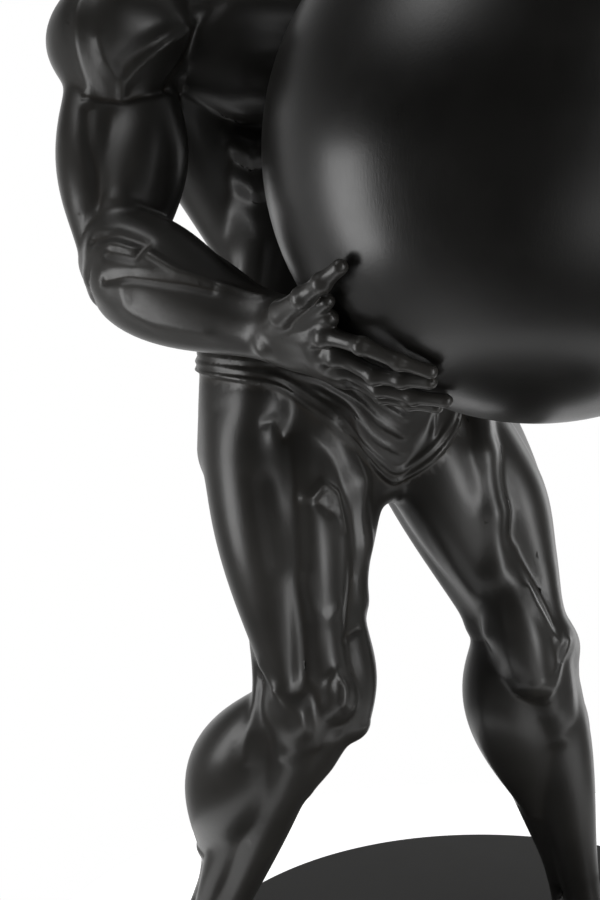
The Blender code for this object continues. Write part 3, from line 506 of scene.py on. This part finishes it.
def forearm_forms(forms, shoulder, elbow, wrist, side):
    bone = Frame(elbow, wrist, np.asarray(shoulder) - wrist, side)
    f = bone.at
    add, ball = forms.add, forms.ball
    add(f(0, 0, 0), f(0, 0, 1.04), 0.026, 0.017, soft=BROAD)
    add(f(0, 0.006, 0.70), f(0, 0.005, 1.10), 0.014, 0.014, soft=BROAD)
    add(f(0, -0.006, 0.70), f(0, -0.005, 1.10), 0.014, 0.014, soft=BROAD)
    # Ridge over the top, outer muscles, under side and inner mass
    add(f(0.010, 0.014, -0.16), f(0.008, 0.012, 0.72), 0.014, 0.007, 0.018, peak=0.40)
    add(f(0.022, 0.002, -0.04), f(0.012, 0.004, 0.84), 0.010, 0.006, 0.014, peak=0.40)
    add(f(0.018, -0.014, 0.00), f(0.010, -0.006, 0.94), 0.012, 0.006, 0.014, peak=0.36)
    add(f(0.004, -0.020, 0.00), f(0.002, -0.010, 0.98), 0.014, 0.008, 0.014, peak=0.36)
    add(f(-0.012, -0.014, 0.04), f(-0.006, -0.008, 0.98), 0.012, 0.008, 0.014, peak=0.36)
    add(f(-0.016, 0.004, 0.02), f(-0.008, 0.006, 0.90), 0.014, 0.009, 0.018, peak=0.36)
    ball(f(0.022, -0.006, 0.0), 0.010)
    ball(f(0.012, -0.014, 1.0), 0.0080, soft=SOFT)


def finger(forms, globe, joints, radii, soft):
    """Bones, knuckles and a nail, from the knuckle to the tip."""
    add, ball = forms.add, forms.ball
    for a, b, ra, rb in zip(joints, joints[1:], radii, radii[1:]):
        add(a, b, ra, rb, -0.08 * ra, soft=soft)
    for p, r in zip(joints[1:-1], radii[1:-1]):
        ball(p + unit(p - globe.centre) * r * 0.16, r * 1.02, soft=soft)
    out = unit(joints[-1] - globe.centre)
    back = unit(joints[-2] - joints[-1])
    nail = joints[-1] + out * radii[-1] * 0.52 + back * radii[-1] * 0.1
    ball(nail, radii[-1] * 0.72, flat=0.55, across=out, soft=soft / 3)


def hand(forms, globe, side, wrist_side, finger_side):
    """The palm and fingers lie over the globe; the thumb stands away from them."""

    def g(along, across, lift):
        return globe.over(wrist_side, finger_side, along, across * side, lift)

    add = forms.add
    out = unit(g(0, 0, 1) - globe.centre)
    add(g(-0.004, 0.000, 0.024), g(0.040, 0.000, 0.016), 0.0165, 0.0145, flat=0.85, across=out,
        soft=BROAD)
    add(g(0.000, -0.006, 0.024), g(0.042, -0.016, 0.016), 0.0130, 0.0105, soft=BROAD)
    add(g(0.000, 0.006, 0.023), g(0.042, 0.018, 0.014), 0.0130, 0.0110, soft=BROAD)
    for r, *places in FINGERS:
        knuckle = places[0]
        lifts = (0.0135, 0.0125, FINGER_LIFT, FINGER_LIFT - 0.0025)
        joints = [g(*place, lift) for place, lift in zip(places, lifts)]
        add(g(0.004, knuckle[1] * 0.5, 0.022), joints[0], 0.0095, r * 1.10, soft=FIRM)
        add(g(-0.002, knuckle[1] * 0.35, 0.0385), g(*knuckle, 0.0190), 0.0032, 0.0030, soft=FIRM)
        forms.ball(g(*knuckle, 0.0155), r * 1.08, soft=FIRM)
        finger(forms, globe, joints, (r * 1.02, r * 0.92, r * 0.84, r * 0.74), FIRM / 2)
    joints = [g(*place) for place in THUMB]
    add(g(0.004, -0.008, 0.025), joints[0], 0.0120, 0.0092, soft=SOFT)
    finger(forms, globe, joints, (0.0088, 0.0070, 0.0064, 0.0052), FIRM / 2)
    # Web between the thumb and the first finger
    add(g(0.030, -0.026, 0.016), g(0.060, -0.036, 0.008), 0.010, 0.006, soft=FIRM)
    add(g(0.040, -0.034, 0.014), g(0.064, -0.052, 0.008), 0.008, 0.005, soft=FIRM)


def torso(forms):
    add = forms.add
    chest = np.asarray(CHEST)
    neck = np.asarray(NECK)
    waist = chest * 0.42

    def c(x, y, z):
        return chest + (x, y, z)

    # Rib cage, belly and pelvis
    add(c(0, 0.0, 0.045), c(0, 0.0, -0.06), 0.086, 0.074, flat=0.80, across=(0, 1, 0), soft=SMOOTH)
    add(c(0, 0.0, -0.06), waist, 0.070, 0.066, flat=0.84, across=(0, 1, 0), soft=SMOOTH)
    add(waist, (0, 0.0, 0.01), 0.064, 0.076, flat=0.84, across=(0, 1, 0), soft=SMOOTH)
    add((-0.052, 0.000, 0.030), (0.052, 0.000, 0.030), 0.054, 0.054, soft=SMOOTH)
    add((0, -0.034, 0.004), (0, -0.030, -0.050), 0.034, 0.025, soft=SMOOTH)
    for side in (-1, 1):
        # Chest: lower and upper bundles running to the arm
        add(c(side * 0.030, -0.050, 0.042), c(side * 0.116, -0.026, 0.052), 0.032, 0.022, 0.010,
            flat=0.75, across=(0, 1, 0))
        add(c(side * 0.026, -0.044, 0.074), c(side * 0.126, -0.018, 0.072), 0.026, 0.018, 0.009,
            flat=0.8, across=(0, 1, 0))
        # Ribs and the saw-tooth muscle
        for i in range(4):
            add(c(side * (0.066 - 0.006 * i), -0.044 + 0.004 * i, -0.014 - 0.026 * i),
                c(side * (0.088 - 0.008 * i), -0.008 + 0.003 * i, 0.004 - 0.026 * i), 0.0105, 0.0090,
                soft=SMOOTH)
        # Back: the broad muscle, shoulder blade, trapezius and the columns beside the spine
        add(c(side * 0.106, 0.010, 0.046), c(side * 0.056, 0.006, -0.100), 0.034, 0.014, 0.013, peak=0.3)
        add(c(side * 0.044, 0.048, 0.070), c(side * 0.104, 0.028, 0.060), 0.026, 0.022, 0.004)
        add(c(side * 0.048, 0.050, 0.034), c(side * 0.108, 0.026, 0.040), 0.024, 0.018, 0.002)
        add(c(side * 0.022, 0.052, 0.060), (side * 0.024, 0.050, 0.060), 0.017, 0.019, 0.006)
        add(neck + (side * 0.012, 0.008, 0.040), c(side * 0.118, 0.008, 0.094), 0.026, 0.026, 0.003,
            soft=BROAD)
        add(neck + (side * 0.030, 0.012, 0.000), c(side * 0.116, 0.014, 0.074), 0.030, 0.032,
            soft=BROAD)
        add(c(side * 0.030, 0.034, 0.080), c(side * 0.128, 0.026, 0.072), 0.032, 0.030, soft=SMOOTH)
        add(neck + (side * 0.012, 0.018, 0.000), c(side * 0.020, 0.058, -0.010), 0.026, 0.014, 0.004)
        add(c(side * 0.014, -0.032, 0.094), c(side * 0.126, -0.004, 0.092), 0.0085, 0.0105)
        # Flank, hip and seat
        add(waist + (side * 0.052, -0.002, 0.034), (side * 0.081, -0.002, 0.050), 0.024, 0.029, 0.003,
            soft=SMOOTH)
        add((side * 0.095, 0.006, 0.038), (side * 0.102, 0.004, -0.026), 0.037, 0.034, soft=SMOOTH)
        add((side * 0.046, 0.038, 0.038), (side * 0.053, 0.038, -0.034), 0.040, 0.040, 0.005,
            soft=BROAD)
        add(waist + (side * 0.012, 0.030, 0.02), (side * 0.014, 0.050, 0.010), 0.026, 0.030,
            soft=SMOOTH)
        # Belly muscles
        for row in range(4):
            z = 0.178 - 0.034 * row
            y = CHEST[1] * z / CHEST[2] - 0.046 + 0.003 * row
            add((side * 0.014 + CHEST[0] * 0.5, y, z), (side * 0.026 + CHEST[0] * 0.5, y + 0.004, z),
                0.0150, 0.0140, soft=SMOOTH)


def head(forms):
    add, ball = forms.add, forms.ball
    neck = np.asarray(NECK)
    h = np.asarray(HEAD)
    add(neck - (0, 0, 0.01), h + (0, 0.012, -0.028), 0.046, 0.040)
    for side in (-1, 1):
        add(neck + (side * 0.012, -0.040, -0.004), h + (side * 0.034, 0.010, -0.032), 0.008, 0.012)
    # Skull, forehead, muzzle and chin
    add(h + (0, 0.012, 0.020), h + (0, -0.006, 0.022), 0.0475, 0.0430, flat=0.86, across=(1, 0, 0))
    add(h + (0, -0.006, 0.004), h + (0, -0.022, -0.032), 0.038, 0.0215)
    add(h + (-0.006, -0.036, -0.0500), h + (0.006, -0.036, -0.0500), 0.0098, 0.0098, soft=SOFT)
    add(h + (0, -0.040, -0.0260), h + (0, -0.036, -0.0380), 0.0120, 0.0110, soft=SOFT)
    for side in (-1, 1):
        # Jaw, cheekbone and cheek
        add(h + (side * 0.035, 0.002, -0.020), h + (side * 0.031, -0.008, -0.036), 0.0110, 0.0090)
        add(h + (side * 0.031, -0.008, -0.036), h + (side * 0.012, -0.032, -0.050), 0.0090, 0.0085)
        add(h + (side * 0.035, -0.006, -0.002), h + (side * 0.025, -0.029, -0.007), 0.0070, 0.0095,
            soft=SMOOTH)
        add(h + (side * 0.022, -0.027, -0.015), h + (side * 0.017, -0.031, -0.034), 0.0120, 0.0100,
            soft=SMOOTH)
        # Ear
        ball(h + (side * 0.042, 0.010, 0.000), 0.0125, flat=0.36, across=(1, 0.35 * side, 0), soft=FIRM)
        ball(h + (side * 0.0405, 0.006, -0.0125), 0.0062, flat=0.5, across=(1, 0, 0), soft=FIRM)
        # Brow, eye and its lids
        add(h + (side * 0.008, -0.0445, 0.0150), h + (side * 0.028, -0.0345, 0.0160), 0.0056, 0.0056,
            0.0006, soft=SOFT)
        ball(h + (side * 0.0160, -0.0345, 0.0055), 0.0095, soft=FIRM)
        add(h + (side * 0.0080, -0.0425, 0.0078), h + (side * 0.0252, -0.0375, 0.0080), 0.0020, 0.0020,
            0.0014, soft=FIRM / 3)
        add(h + (side * 0.0085, -0.0425, 0.0026), h + (side * 0.0245, -0.0380, 0.0034), 0.0016, 0.0016,
            0.0010, soft=FIRM / 3)
        # Wing of the nose and the lips
        ball(h + (side * 0.0064, -0.0500, -0.0180), 0.0044, soft=FIRM / 2)
        add(h + (side * 0.0015, -0.0500, -0.0305), h + (side * 0.0110, -0.0440, -0.0325), 0.0030, 0.0014,
            soft=FIRM / 2)
        add(h + (side * 0.0010, -0.0485, -0.0362), h + (side * 0.0100, -0.0440, -0.0338), 0.0034, 0.0014,
            soft=FIRM / 2)
    add(h + (0, -0.0440, 0.0120), h + (0, -0.0555, -0.0150), 0.0046, 0.0050, soft=FIRM)
    ball(h + (0, -0.0560, -0.0165), 0.0054, soft=FIRM / 2)
    # Hair, as a cap
    add(h + (0, 0.016, 0.028), h + (0, 0.000, 0.034), 0.0500, 0.0440, flat=0.88, across=(1, 0, 0), soft=FIRM)
    hair(forms, h)


def hair(forms, h):
    """Short curls, laid over the scalp in a spiral."""
    middle = h + SCALP_MIDDLE
    reach = np.array(SCALP_REACH)
    for i in range(CURLS):
        height = 1.0 - CURL_DROP * i / CURLS
        turn = i * math.pi * SPIRAL_SHARE
        around = math.sqrt(max(0.0, 1.0 - height * height))
        way = np.array((math.cos(turn) * around, math.sin(turn) * around, height))
        forehead = way[1] < -0.25 and way[2] < 0.60
        face = way[1] < 0.12 and way[2] < 0.05
        if forehead or face:
            continue
        forms.ball(middle + way * reach, CURL_RADIUS + CURL_CHANGE * math.sin(i * 1.7), soft=FIRM / 2)


def ease(x):
    x = np.clip(x, 0.0, 1.0)
    return x * x * (3.0 - 2.0 * x)


def ridge(x, middle, width):
    return np.exp(-((x - middle) / width) ** 2)


def above_hem(p):
    """How far each point lies above the hem of its leg opening."""
    across = np.hypot(p[:, 0] - FORK[0], HEM_ROUND) - HEM_ROUND
    rise = HEM_SLOPE * across + FORK[1]
    low = np.exp(-rise / HEM_BEND)
    high = math.exp(-HEM_TOP / HEM_BEND)
    hem = -HEM_BEND * np.log(low + high)
    tilt = HEM_SLOPE * low / (low + high)
    return (p[:, 2] - hem) / np.sqrt(1.0 + tilt * tilt)


def trunk_lift(p):
    """How far the trunks stand off the skin, with a rolled hem and a waistband."""
    hem = above_hem(p)
    band = WAIST_HEIGHT - p[:, 2]
    reach = (p[:, 1] > TRUNK_FRONT) & (np.abs(p[:, 0]) < TRUNK_SIDE)
    cover = ease(hem / HEM_EDGE) * ease(band / HEM_EDGE) * reach
    rolls = ridge(hem, HEM_ROLLS[0], HEM_ROLL_WIDTH) + ridge(hem, HEM_ROLLS[1], HEM_ROLL_WIDTH)
    rolls = rolls + ridge(band, HEM_ROLLS[0], HEM_ROLL_WIDTH) + ridge(band, HEM_ROLLS[1], HEM_ROLL_WIDTH)
    return cover * (TRUNK_THICKNESS + HEM_ROLL_HEIGHT * rolls + folds(p))


def folds(p):
    """Pleats that run beside the hem of the right leg and spread over the pouch, and upright ones."""
    aside = FORK[0] - p[:, 0]
    hem = above_hem(p)
    far = np.hypot(FOLD_ROOT[0] - aside, FOLD_ROOT[1] - p[:, 2])
    spread = FOLD_SPREAD[0] + FOLD_SPREAD[1] * ease(far / FOLD_FAN)
    phase = FOLD_RATE * hem / spread + 0.5 * np.sin(far * 75.0) + 0.4 * np.sin(p[:, 0] * 210.0)
    pleats = np.exp(1.8 * (np.cos(phase) - 1.0)) + 0.6 * np.exp(2.5 * (np.cos(0.57 * phase + 1.2) - 1.0))
    right = ease((hem - 0.012) / 0.008) * ease((0.112 - aside) / 0.03) * ease((aside + 0.012) / 0.02)
    front = ease((-p[:, 1] - 0.02) / 0.03)
    lean = p[:, 2] - FORK[1]
    upright = sum(ridge(-aside, start + tilt * lean, UPRIGHT_WIDTH) for start, tilt in UPRIGHT_FOLDS)
    left = ease((hem - 0.010) / 0.008)
    return FOLD_HEIGHT * (pleats * right + 1.2 * upright * left) * front


def body_forms(globe):
    forms = Forms()
    torso(forms)
    head(forms)
    leg(forms, -1, ANKLE_RIGHT, KNEE_AIM_RIGHT, KNEE_FRONT_RIGHT, TOES_RIGHT, STRAP_RIGHT)
    leg(forms, 1, ANKLE_LEFT, KNEE_AIM_LEFT, KNEE_FRONT_LEFT, TOES_LEFT, STRAP_LEFT)
    for side, *places in ARMS:
        arm(forms, globe, side, *places)
    return forms


def hips_origin():
    x, y = HIPS_ON_BASE
    top = BASE_THICKNESS + JOINT_GAP
    return np.array((x * STATURE, y * STATURE, HIP_HEIGHT * STATURE + top))


def place(name, mesh):
    obj = bpy.data.objects.new(name, mesh)
    bpy.context.scene.collection.objects.link(obj)
    return obj


def read_points(mesh):
    flat = np.empty(len(mesh.vertices) * 3)
    mesh.vertices.foreach_get("co", flat)
    return flat.reshape(-1, 3)


def write_points(mesh, p):
    mesh.vertices.foreach_set("co", p.ravel())
    mesh.update()


def rough_body(forms, voxel):
    """Balls along every form, fused into one closed skin."""
    bm = bmesh.new()
    bmesh.ops.create_icosphere(bm, subdivisions=2, radius=1.0)
    ball = np.array([v.co for v in bm.verts])
    corners = np.array([[v.index for v in f.verts] for f in bm.faces])
    bm.free()
    centres = []
    for a, b, ra, rb, belly, _, _, _, peak in forms.rows:
        steps = max(2, int(np.linalg.norm(b - a) / (BALL_SPACING * min(ra, rb))) + 1)
        for i in range(steps):
            t = i / (steps - 1)
            radius = ra + (rb - ra) * t + belly * swell(t, peak)
            centres.append((*(a + (b - a) * t), radius * BALL_SHARE))
    centres = np.array(centres)
    points = (centres[:, None, :3] + ball[None] * centres[:, None, 3:]) * STATURE
    faces = corners[None] + len(ball) * np.arange(len(centres))[:, None, None]
    mesh = bpy.data.meshes.new("rough_body")
    mesh.from_pydata(points.reshape(-1, 3), [], faces.reshape(-1, 3))
    obj = place("rough_body", mesh)
    fuse = obj.modifiers.new("fuse", "REMESH")
    fuse.mode = "VOXEL"
    fuse.voxel_size = voxel
    relax = obj.modifiers.new("relax", "SMOOTH")
    relax.iterations = RELAX_ROUNDS
    return applied(obj)


def applied(obj):
    """The object's mesh with its modifiers, and the object itself gone."""
    graph = bpy.context.evaluated_depsgraph_get()
    mesh = bpy.data.meshes.new_from_object(obj.evaluated_get(graph))
    bpy.data.objects.remove(obj, do_unlink=True)
    return mesh


def limb_bones(globe):
    """The bone frames that the relief is drawn on, two for each limb."""
    bones = []
    legs = ((-1, ANKLE_RIGHT, KNEE_AIM_RIGHT, KNEE_FRONT_RIGHT, "right"),
            (1, ANKLE_LEFT, KNEE_AIM_LEFT, KNEE_FRONT_LEFT, "left"))
    for side, spot, aim, front, name in legs:
        hip, knee, ankle = leg_joints(side, spot, aim)
        bones.append((name + " thigh", Frame(hip, knee, front, side)))
        bones.append((name + " shank", Frame(knee, ankle, front, side)))
    for side, shoulder, *places in ARMS:
        elbow, wrist = arm_joints(globe, shoulder, *places)
        bones.append(("upper arm", Frame(shoulder, elbow, wrist - np.asarray(shoulder), side)))
        bones.append(("forearm", Frame(elbow, wrist, np.asarray(shoulder) - wrist, side)))
    return bones


def drawn(p, bone, lines):
    """Height of the ridges and grooves drawn on a limb, by the turn round it and the share along it."""
    q = p - bone.start
    along = q @ bone.z
    away = np.hypot(q @ bone.x, q @ bone.y)
    turn = np.arctan2(q @ bone.x, q @ bone.y)
    height = np.zeros(len(p))
    for width, rise, *places in lines:
        nearest = np.full(len(p), 1.0)
        for (turn_a, share_a), (turn_b, share_b) in zip(places, places[1:]):
            ahead = ((turn_b - turn_a) * away, (share_b - share_a) * bone.length)
            to = ((turn - turn_a) * away, along - share_a * bone.length)
            span = ahead[0] ** 2 + ahead[1] ** 2
            t = np.clip((to[0] * ahead[0] + to[1] * ahead[1]) / span, 0.0, 1.0)
            nearest = np.minimum(nearest, (to[0] - t * ahead[0]) ** 2 + (to[1] - t * ahead[1]) ** 2)
        height += rise * np.exp(-nearest / width ** 2)
    return height * ease((LIMB_REACH - away) / RELIEF_FADE)


def relief(p, bones):
    """Height of all the lines drawn on the limbs."""
    height = np.zeros(len(p))
    for name, bone in bones:
        middle = bone.start + bone.z * bone.length / 2
        near = np.flatnonzero(((p - middle) ** 2).sum(1) < bone.length ** 2)
        height[near] += drawn(p[near], bone, RELIEF[name])
    return height


def settle(mesh, forms, bones, rounds):
    """Moves each vertex of the fused skin onto the melted surface, then adds trunks and relief."""
    p = read_points(mesh) / STATURE
    for _ in range(rounds):
        move = forms.step(p)
        size = np.sqrt((move * move).sum(1))
        p = p + move * np.minimum(1.0, LONGEST_STEP / np.maximum(size, TINY))[:, None]
    lift = trunk_lift(p)
    lift = np.where(lift > 0.0, lift, relief(p, bones))
    moved = np.flatnonzero(np.abs(lift) > LEAST_LIFT)
    p[moved] += forms.outward(p[moved]) * lift[moved][:, None]
    write_points(mesh, p * STATURE + hips_origin())


def clear_of_neighbours(mesh, globe):
    """Seats the skin round the globe and cuts the soles flat, a gap away from each."""
    p = read_points(mesh)
    centre = globe.centre * STATURE + hips_origin()
    away = p - centre
    distance = np.sqrt((away * away).sum(1))
    least = GLOBE_DIAMETER / 2 + JOINT_GAP
    inside = distance < least
    p[inside] = centre + away[inside] * (least / distance[inside])[:, None]
    p[:, 2] = np.maximum(p[:, 2], BASE_THICKNESS + JOINT_GAP)
    write_points(mesh, p)


def make_figure(globe):
    forms = body_forms(globe)
    mesh = rough_body(forms, FORM_VOXEL)
    settle(mesh, forms, limb_bones(globe), SETTLING_ROUNDS)
    clear_of_neighbours(mesh, globe)
    obj = place("figure_carved", mesh)
    faces = len(mesh.polygons) * 2
    if faces > FIGURE_TRIANGLES:
        thin = obj.modifiers.new("thin", "DECIMATE")
        thin.ratio = FIGURE_TRIANGLES / faces
        mesh = applied(obj)
        obj = place("figure_carved", mesh)
    obj.data.shade_smooth()
    return obj


def make_globe(globe):
    bm = bmesh.new()
    bmesh.ops.create_icosphere(bm, subdivisions=GLOBE_SUBDIVISIONS, radius=GLOBE_DIAMETER / 2)
    mesh = bpy.data.meshes.new("globe_fine")
    bm.to_mesh(mesh)
    bm.free()
    mesh.shade_smooth()
    obj = place("globe_fine", mesh)
    obj.location = Vector(globe.centre * STATURE + hips_origin())
    return obj


def make_disc():
    """The disc, turned about its axis from the profile of its rim."""
    r = BASE_DIAMETER / 2
    edge = BASE_EDGE_ROUND
    profile = [(r - edge / 3, 0.0), (r, edge / 3)]
    for i in range(RIM_STEPS + 1):
        turn = math.pi / 2 * i / RIM_STEPS
        profile.append((r - edge + edge * math.cos(turn), BASE_THICKNESS - edge + edge * math.sin(turn)))
    for share in DISC_RINGS:
        profile.append((r * share, BASE_THICKNESS))
    bm = bmesh.new()
    rings = []
    for x, z in profile:
        ring = []
        for i in range(RIM_SEGMENTS):
            turn = 2 * math.pi * i / RIM_SEGMENTS
            ring.append(bm.verts.new((x * math.cos(turn), x * math.sin(turn), z)))
        rings.append(ring)
    for low, high in zip(rings, rings[1:]):
        for i in range(RIM_SEGMENTS):
            j = (i + 1) % RIM_SEGMENTS
            bm.faces.new((low[i], low[j], high[j], high[i]))
    bm.faces.new(rings[-1])
    bm.faces.new(rings[0][::-1])
    mesh = bpy.data.meshes.new("disc")
    bm.to_mesh(mesh)
    bm.free()
    mesh.shade_smooth()
    obj = place("disc", mesh)
    sharp = obj.modifiers.new("flat_faces", "WEIGHTED_NORMAL")
    sharp.keep_sharp = True
    return obj


class Nodes:
    """Adds shader nodes and joins them."""

    def __init__(self, tree):
        self.tree = tree

    def add(self, kind, **settings):
        node = self.tree.nodes.new(kind)
        for name, value in settings.items():
            setattr(node, name, value)
        return node

    def join(self, out, to):
        self.tree.links.new(out, to)

    def noise(self, coords, scale, detail=4.0, rough=0.55):
        node = self.add("ShaderNodeTexNoise")
        node.inputs["Scale"].default_value = scale
        node.inputs["Detail"].default_value = detail
        node.inputs["Roughness"].default_value = rough
        self.join(coords, node.inputs["Vector"])
        return node.outputs["Fac"]

    def stretched(self, coords, scale, turn):
        node = self.add("ShaderNodeMapping")
        node.inputs["Scale"].default_value = scale
        node.inputs["Rotation"].default_value = turn
        self.join(coords, node.inputs["Vector"])
        return node.outputs["Vector"]

    def ramp(self, value, stops):
        node = self.add("ShaderNodeValToRGB")
        points = node.color_ramp.elements
        while len(points) < len(stops):
            points.new(0.5)
        for point, (at, colour) in zip(points, stops):
            point.position = at
            point.color = (*colour, 1.0)
        self.join(value, node.inputs["Fac"])
        return node.outputs["Color"]

    def span(self, value, low, high, to_low, to_high):
        node = self.add("ShaderNodeMapRange")
        for name, number in zip(("From Min", "From Max", "To Min", "To Max"), (low, high, to_low, to_high)):
            node.inputs[name].default_value = number
        self.join(value, node.inputs["Value"])
        return node.outputs["Result"]

    def mix(self, a, b, share, blend="MULTIPLY"):
        node = self.add("ShaderNodeMix", data_type="RGBA", blend_type=blend)
        node.inputs["Factor"].default_value = share
        self.join(a, node.inputs["A"])
        self.join(b, node.inputs["B"])
        return node.outputs["Result"]

    def maths(self, a, b, operation):
        node = self.add("ShaderNodeMath", operation=operation)
        for value, socket in zip((a, b), node.inputs):
            if isinstance(value, float):
                socket.default_value = value
            else:
                self.join(value, socket)
        return node.outputs["Value"]

    def dot(self, way, toward):
        node = self.add("ShaderNodeVectorMath", operation="DOT_PRODUCT")
        node.inputs[1].default_value = toward
        self.join(way, node.inputs[0])
        return node.outputs["Value"]

    def bump(self, height, distance, strength, under=None):
        node = self.add("ShaderNodeBump")
        node.inputs["Distance"].default_value = distance
        node.inputs["Strength"].default_value = strength
        self.join(height, node.inputs["Height"])
        if under is not None:
            self.join(under, node.inputs["Normal"])
        return node.outputs["Normal"]


def satin_black(name):
    """Black paint rubbed to a satin, with fine brush marks and, where worn, dust in the hollows."""
    gloss, tone, brushed, worn = FINISHES[name]
    mat = bpy.data.materials.new("satin_black_" + name)
    mat.use_nodes = True
    nodes = Nodes(mat.node_tree)
    shader = mat.node_tree.nodes["Principled BSDF"]
    place_of = nodes.add("ShaderNodeTexCoord").outputs["Object"]
    mottle = nodes.noise(place_of, MOTTLE_SCALE, 5.0, 0.6)
    grain = nodes.noise(place_of, GRAIN_SCALE, 3.0, 0.6)
    hairs = nodes.stretched(place_of, (1.0, 1.0, 0.06), (0.35, 0.25, 0.0))
    hairs = nodes.noise(hairs, HAIR_SCALE, 3.0, 0.7)
    arcs = nodes.stretched(place_of, (0.08, 1.0, 1.0), (0.0, 0.6, 0.4))
    arcs = nodes.noise(arcs, ARC_SCALE, 3.0, 0.7)
    dark, pale = [tuple(tone * share * c for c in PAINT) for share in (0.75, 1.35)]
    paint = nodes.ramp(mottle, ((0.25, dark), (0.75, pale)))
    if worn:
        curve = nodes.add("ShaderNodeNewGeometry").outputs["Pointiness"]
        dust = nodes.ramp(curve, ((0.43, (1.30, 1.12, 0.95)), (0.50, (1.0, 1.0, 1.0)),
                                  (0.58, (1.7, 1.7, 1.7))))
        paint = nodes.mix(paint, dust, 1.0)
    nodes.join(paint, shader.inputs["Base Color"])
    rough = nodes.span(nodes.maths(mottle, nodes.maths(hairs, 0.35, "MULTIPLY"), "ADD"), 0.35, 1.0,
                       gloss - 0.05, gloss + 0.09)
    nodes.join(rough, shader.inputs["Roughness"])
    normal = nodes.bump(grain, GRAIN_DEPTH, 0.35)
    normal = nodes.bump(hairs, HAIR_DEPTH, brushed, normal)
    normal = nodes.bump(arcs, HAIR_DEPTH, brushed * 0.7, normal)
    nodes.join(normal, shader.inputs["Normal"])
    shader.inputs["Specular IOR Level"].default_value = 0.5
    shader.inputs["Coat Weight"].default_value = COAT[0]
    shader.inputs["Coat Roughness"].default_value = COAT[1]
    return mat


def pale_floor():
    bm = bmesh.new()
    bmesh.ops.create_circle(bm, cap_ends=True, segments=FLOOR_SEGMENTS, radius=FLOOR_RADIUS)
    mesh = bpy.data.meshes.new("floor")
    bm.to_mesh(mesh)
    bm.free()
    floor = place("floor", mesh)
    mat = bpy.data.materials.new("pale_floor")
    mat.use_nodes = True
    shader = mat.node_tree.nodes["Principled BSDF"]
    shader.inputs["Base Color"].default_value = (FLOOR_TONE, FLOOR_TONE, FLOOR_TONE, 1.0)
    shader.inputs["Roughness"].default_value = 0.9
    shader.inputs["Specular IOR Level"].default_value = 0.1
    shader.inputs["Emission Color"].default_value = (1.0, 1.0, 1.0, 1.0)
    shader.inputs["Emission Strength"].default_value = FLOOR_GLOW
    floor.data.materials.append(mat)


def softbox(name, position, aim, width, height, power):
    light = bpy.data.lights.new(name, "AREA")
    light.shape = "RECTANGLE"
    light.size = width
    light.size_y = height
    light.energy = power
    obj = bpy.data.objects.new(name, light)
    bpy.context.scene.collection.objects.link(obj)
    obj.location = position
    obj.rotation_euler = (Vector(aim) - Vector(position)).to_track_quat("-Z", "Y").to_euler()
    obj.visible_camera = False


def patch(nodes, way, toward, wide, tall, strength):
    """A soft patch of light; wide and tall are the sines of its half angles."""
    ahead = Vector(toward).normalized()
    side = ahead.cross((0.0, 0.0, 1.0)).normalized()
    rise = side.cross(ahead)
    x = nodes.dot(way, side / wide)
    y = nodes.dot(way, rise / tall)
    far = nodes.maths(nodes.maths(x, x, "MULTIPLY"), nodes.maths(y, y, "MULTIPLY"), "ADD")
    soft = nodes.maths(math.e, nodes.maths(far, -1.0, "MULTIPLY"), "POWER")
    before = nodes.maths(nodes.dot(way, ahead), 0.0, "GREATER_THAN")
    return nodes.maths(nodes.maths(soft, before, "MULTIPLY"), strength, "MULTIPLY")


def sky():
    """A white studio behind and below the piece, dim above and on the viewer's side, with soft lights."""
    world = bpy.data.worlds.new("studio")
    bpy.context.scene.world = world
    world.use_nodes = True
    nodes = Nodes(world.node_tree)
    back = world.node_tree.nodes["Background"]
    way = nodes.add("ShaderNodeTexCoord").outputs["Generated"]
    facing = nodes.span(nodes.dot(way, SEEN_FROM), -1.0, 1.0, 0.0, 1.0)
    height = nodes.span(nodes.dot(way, (0.0, 0.0, 1.0)), -1.0, 1.0, 0.0, 1.0)
    light = nodes.mix(nodes.ramp(facing, SKY_FACING), nodes.ramp(height, SKY_HEIGHT), 1.0)
    for toward, wide, tall, strength in LIGHTS:
        light = nodes.mix(light, patch(nodes, way, toward, wide, tall, strength), 1.0, "ADD")
    seen = nodes.add("ShaderNodeLightPath").outputs["Is Camera Ray"]
    pick = nodes.add("ShaderNodeMix", data_type="RGBA")
    nodes.join(seen, pick.inputs["Factor"])
    nodes.join(light, pick.inputs["A"])
    pick.inputs["B"].default_value = (1.0, 1.0, 1.0, 1.0)
    nodes.join(pick.outputs["Result"], back.inputs["Color"])


def camera():
    cam = bpy.data.cameras.new("camera")
    cam.lens = LENS
    cam.sensor_width = SENSOR
    cam.clip_start = 0.01
    obj = bpy.data.objects.new("camera", cam)
    bpy.context.scene.collection.objects.link(obj)
    hips = hips_origin()
    x, y, height = CAMERA_FROM_HIPS
    obj.location = (hips[0] + x * STATURE, hips[1] + y * STATURE, BASE_THICKNESS + height * STATURE)
    obj.rotation_euler = (math.radians(90.0 - CAMERA_PITCH), 0.0, math.radians(CAMERA_TURN))
    bpy.context.scene.camera = obj


def main():
    camera()
    globe = Globe()
    pieces = (
        (make_figure(globe), "figure", satin_black("figure")),
        (make_globe(globe), "globe", satin_black("globe")),
        (make_disc(), "base", satin_black("disc")),
    )
    for obj, node, mat in pieces:
        obj.data.materials.clear()
        obj.data.materials.append(mat)
        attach(obj, "root")
        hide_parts(node)
    pale_floor()
    sky()
    for name, position, aim, width, height, power in SOFTBOXES:
        softbox(name, position, aim, width, height, power)
    bpy.context.scene.view_settings.view_transform = "Standard"


main()
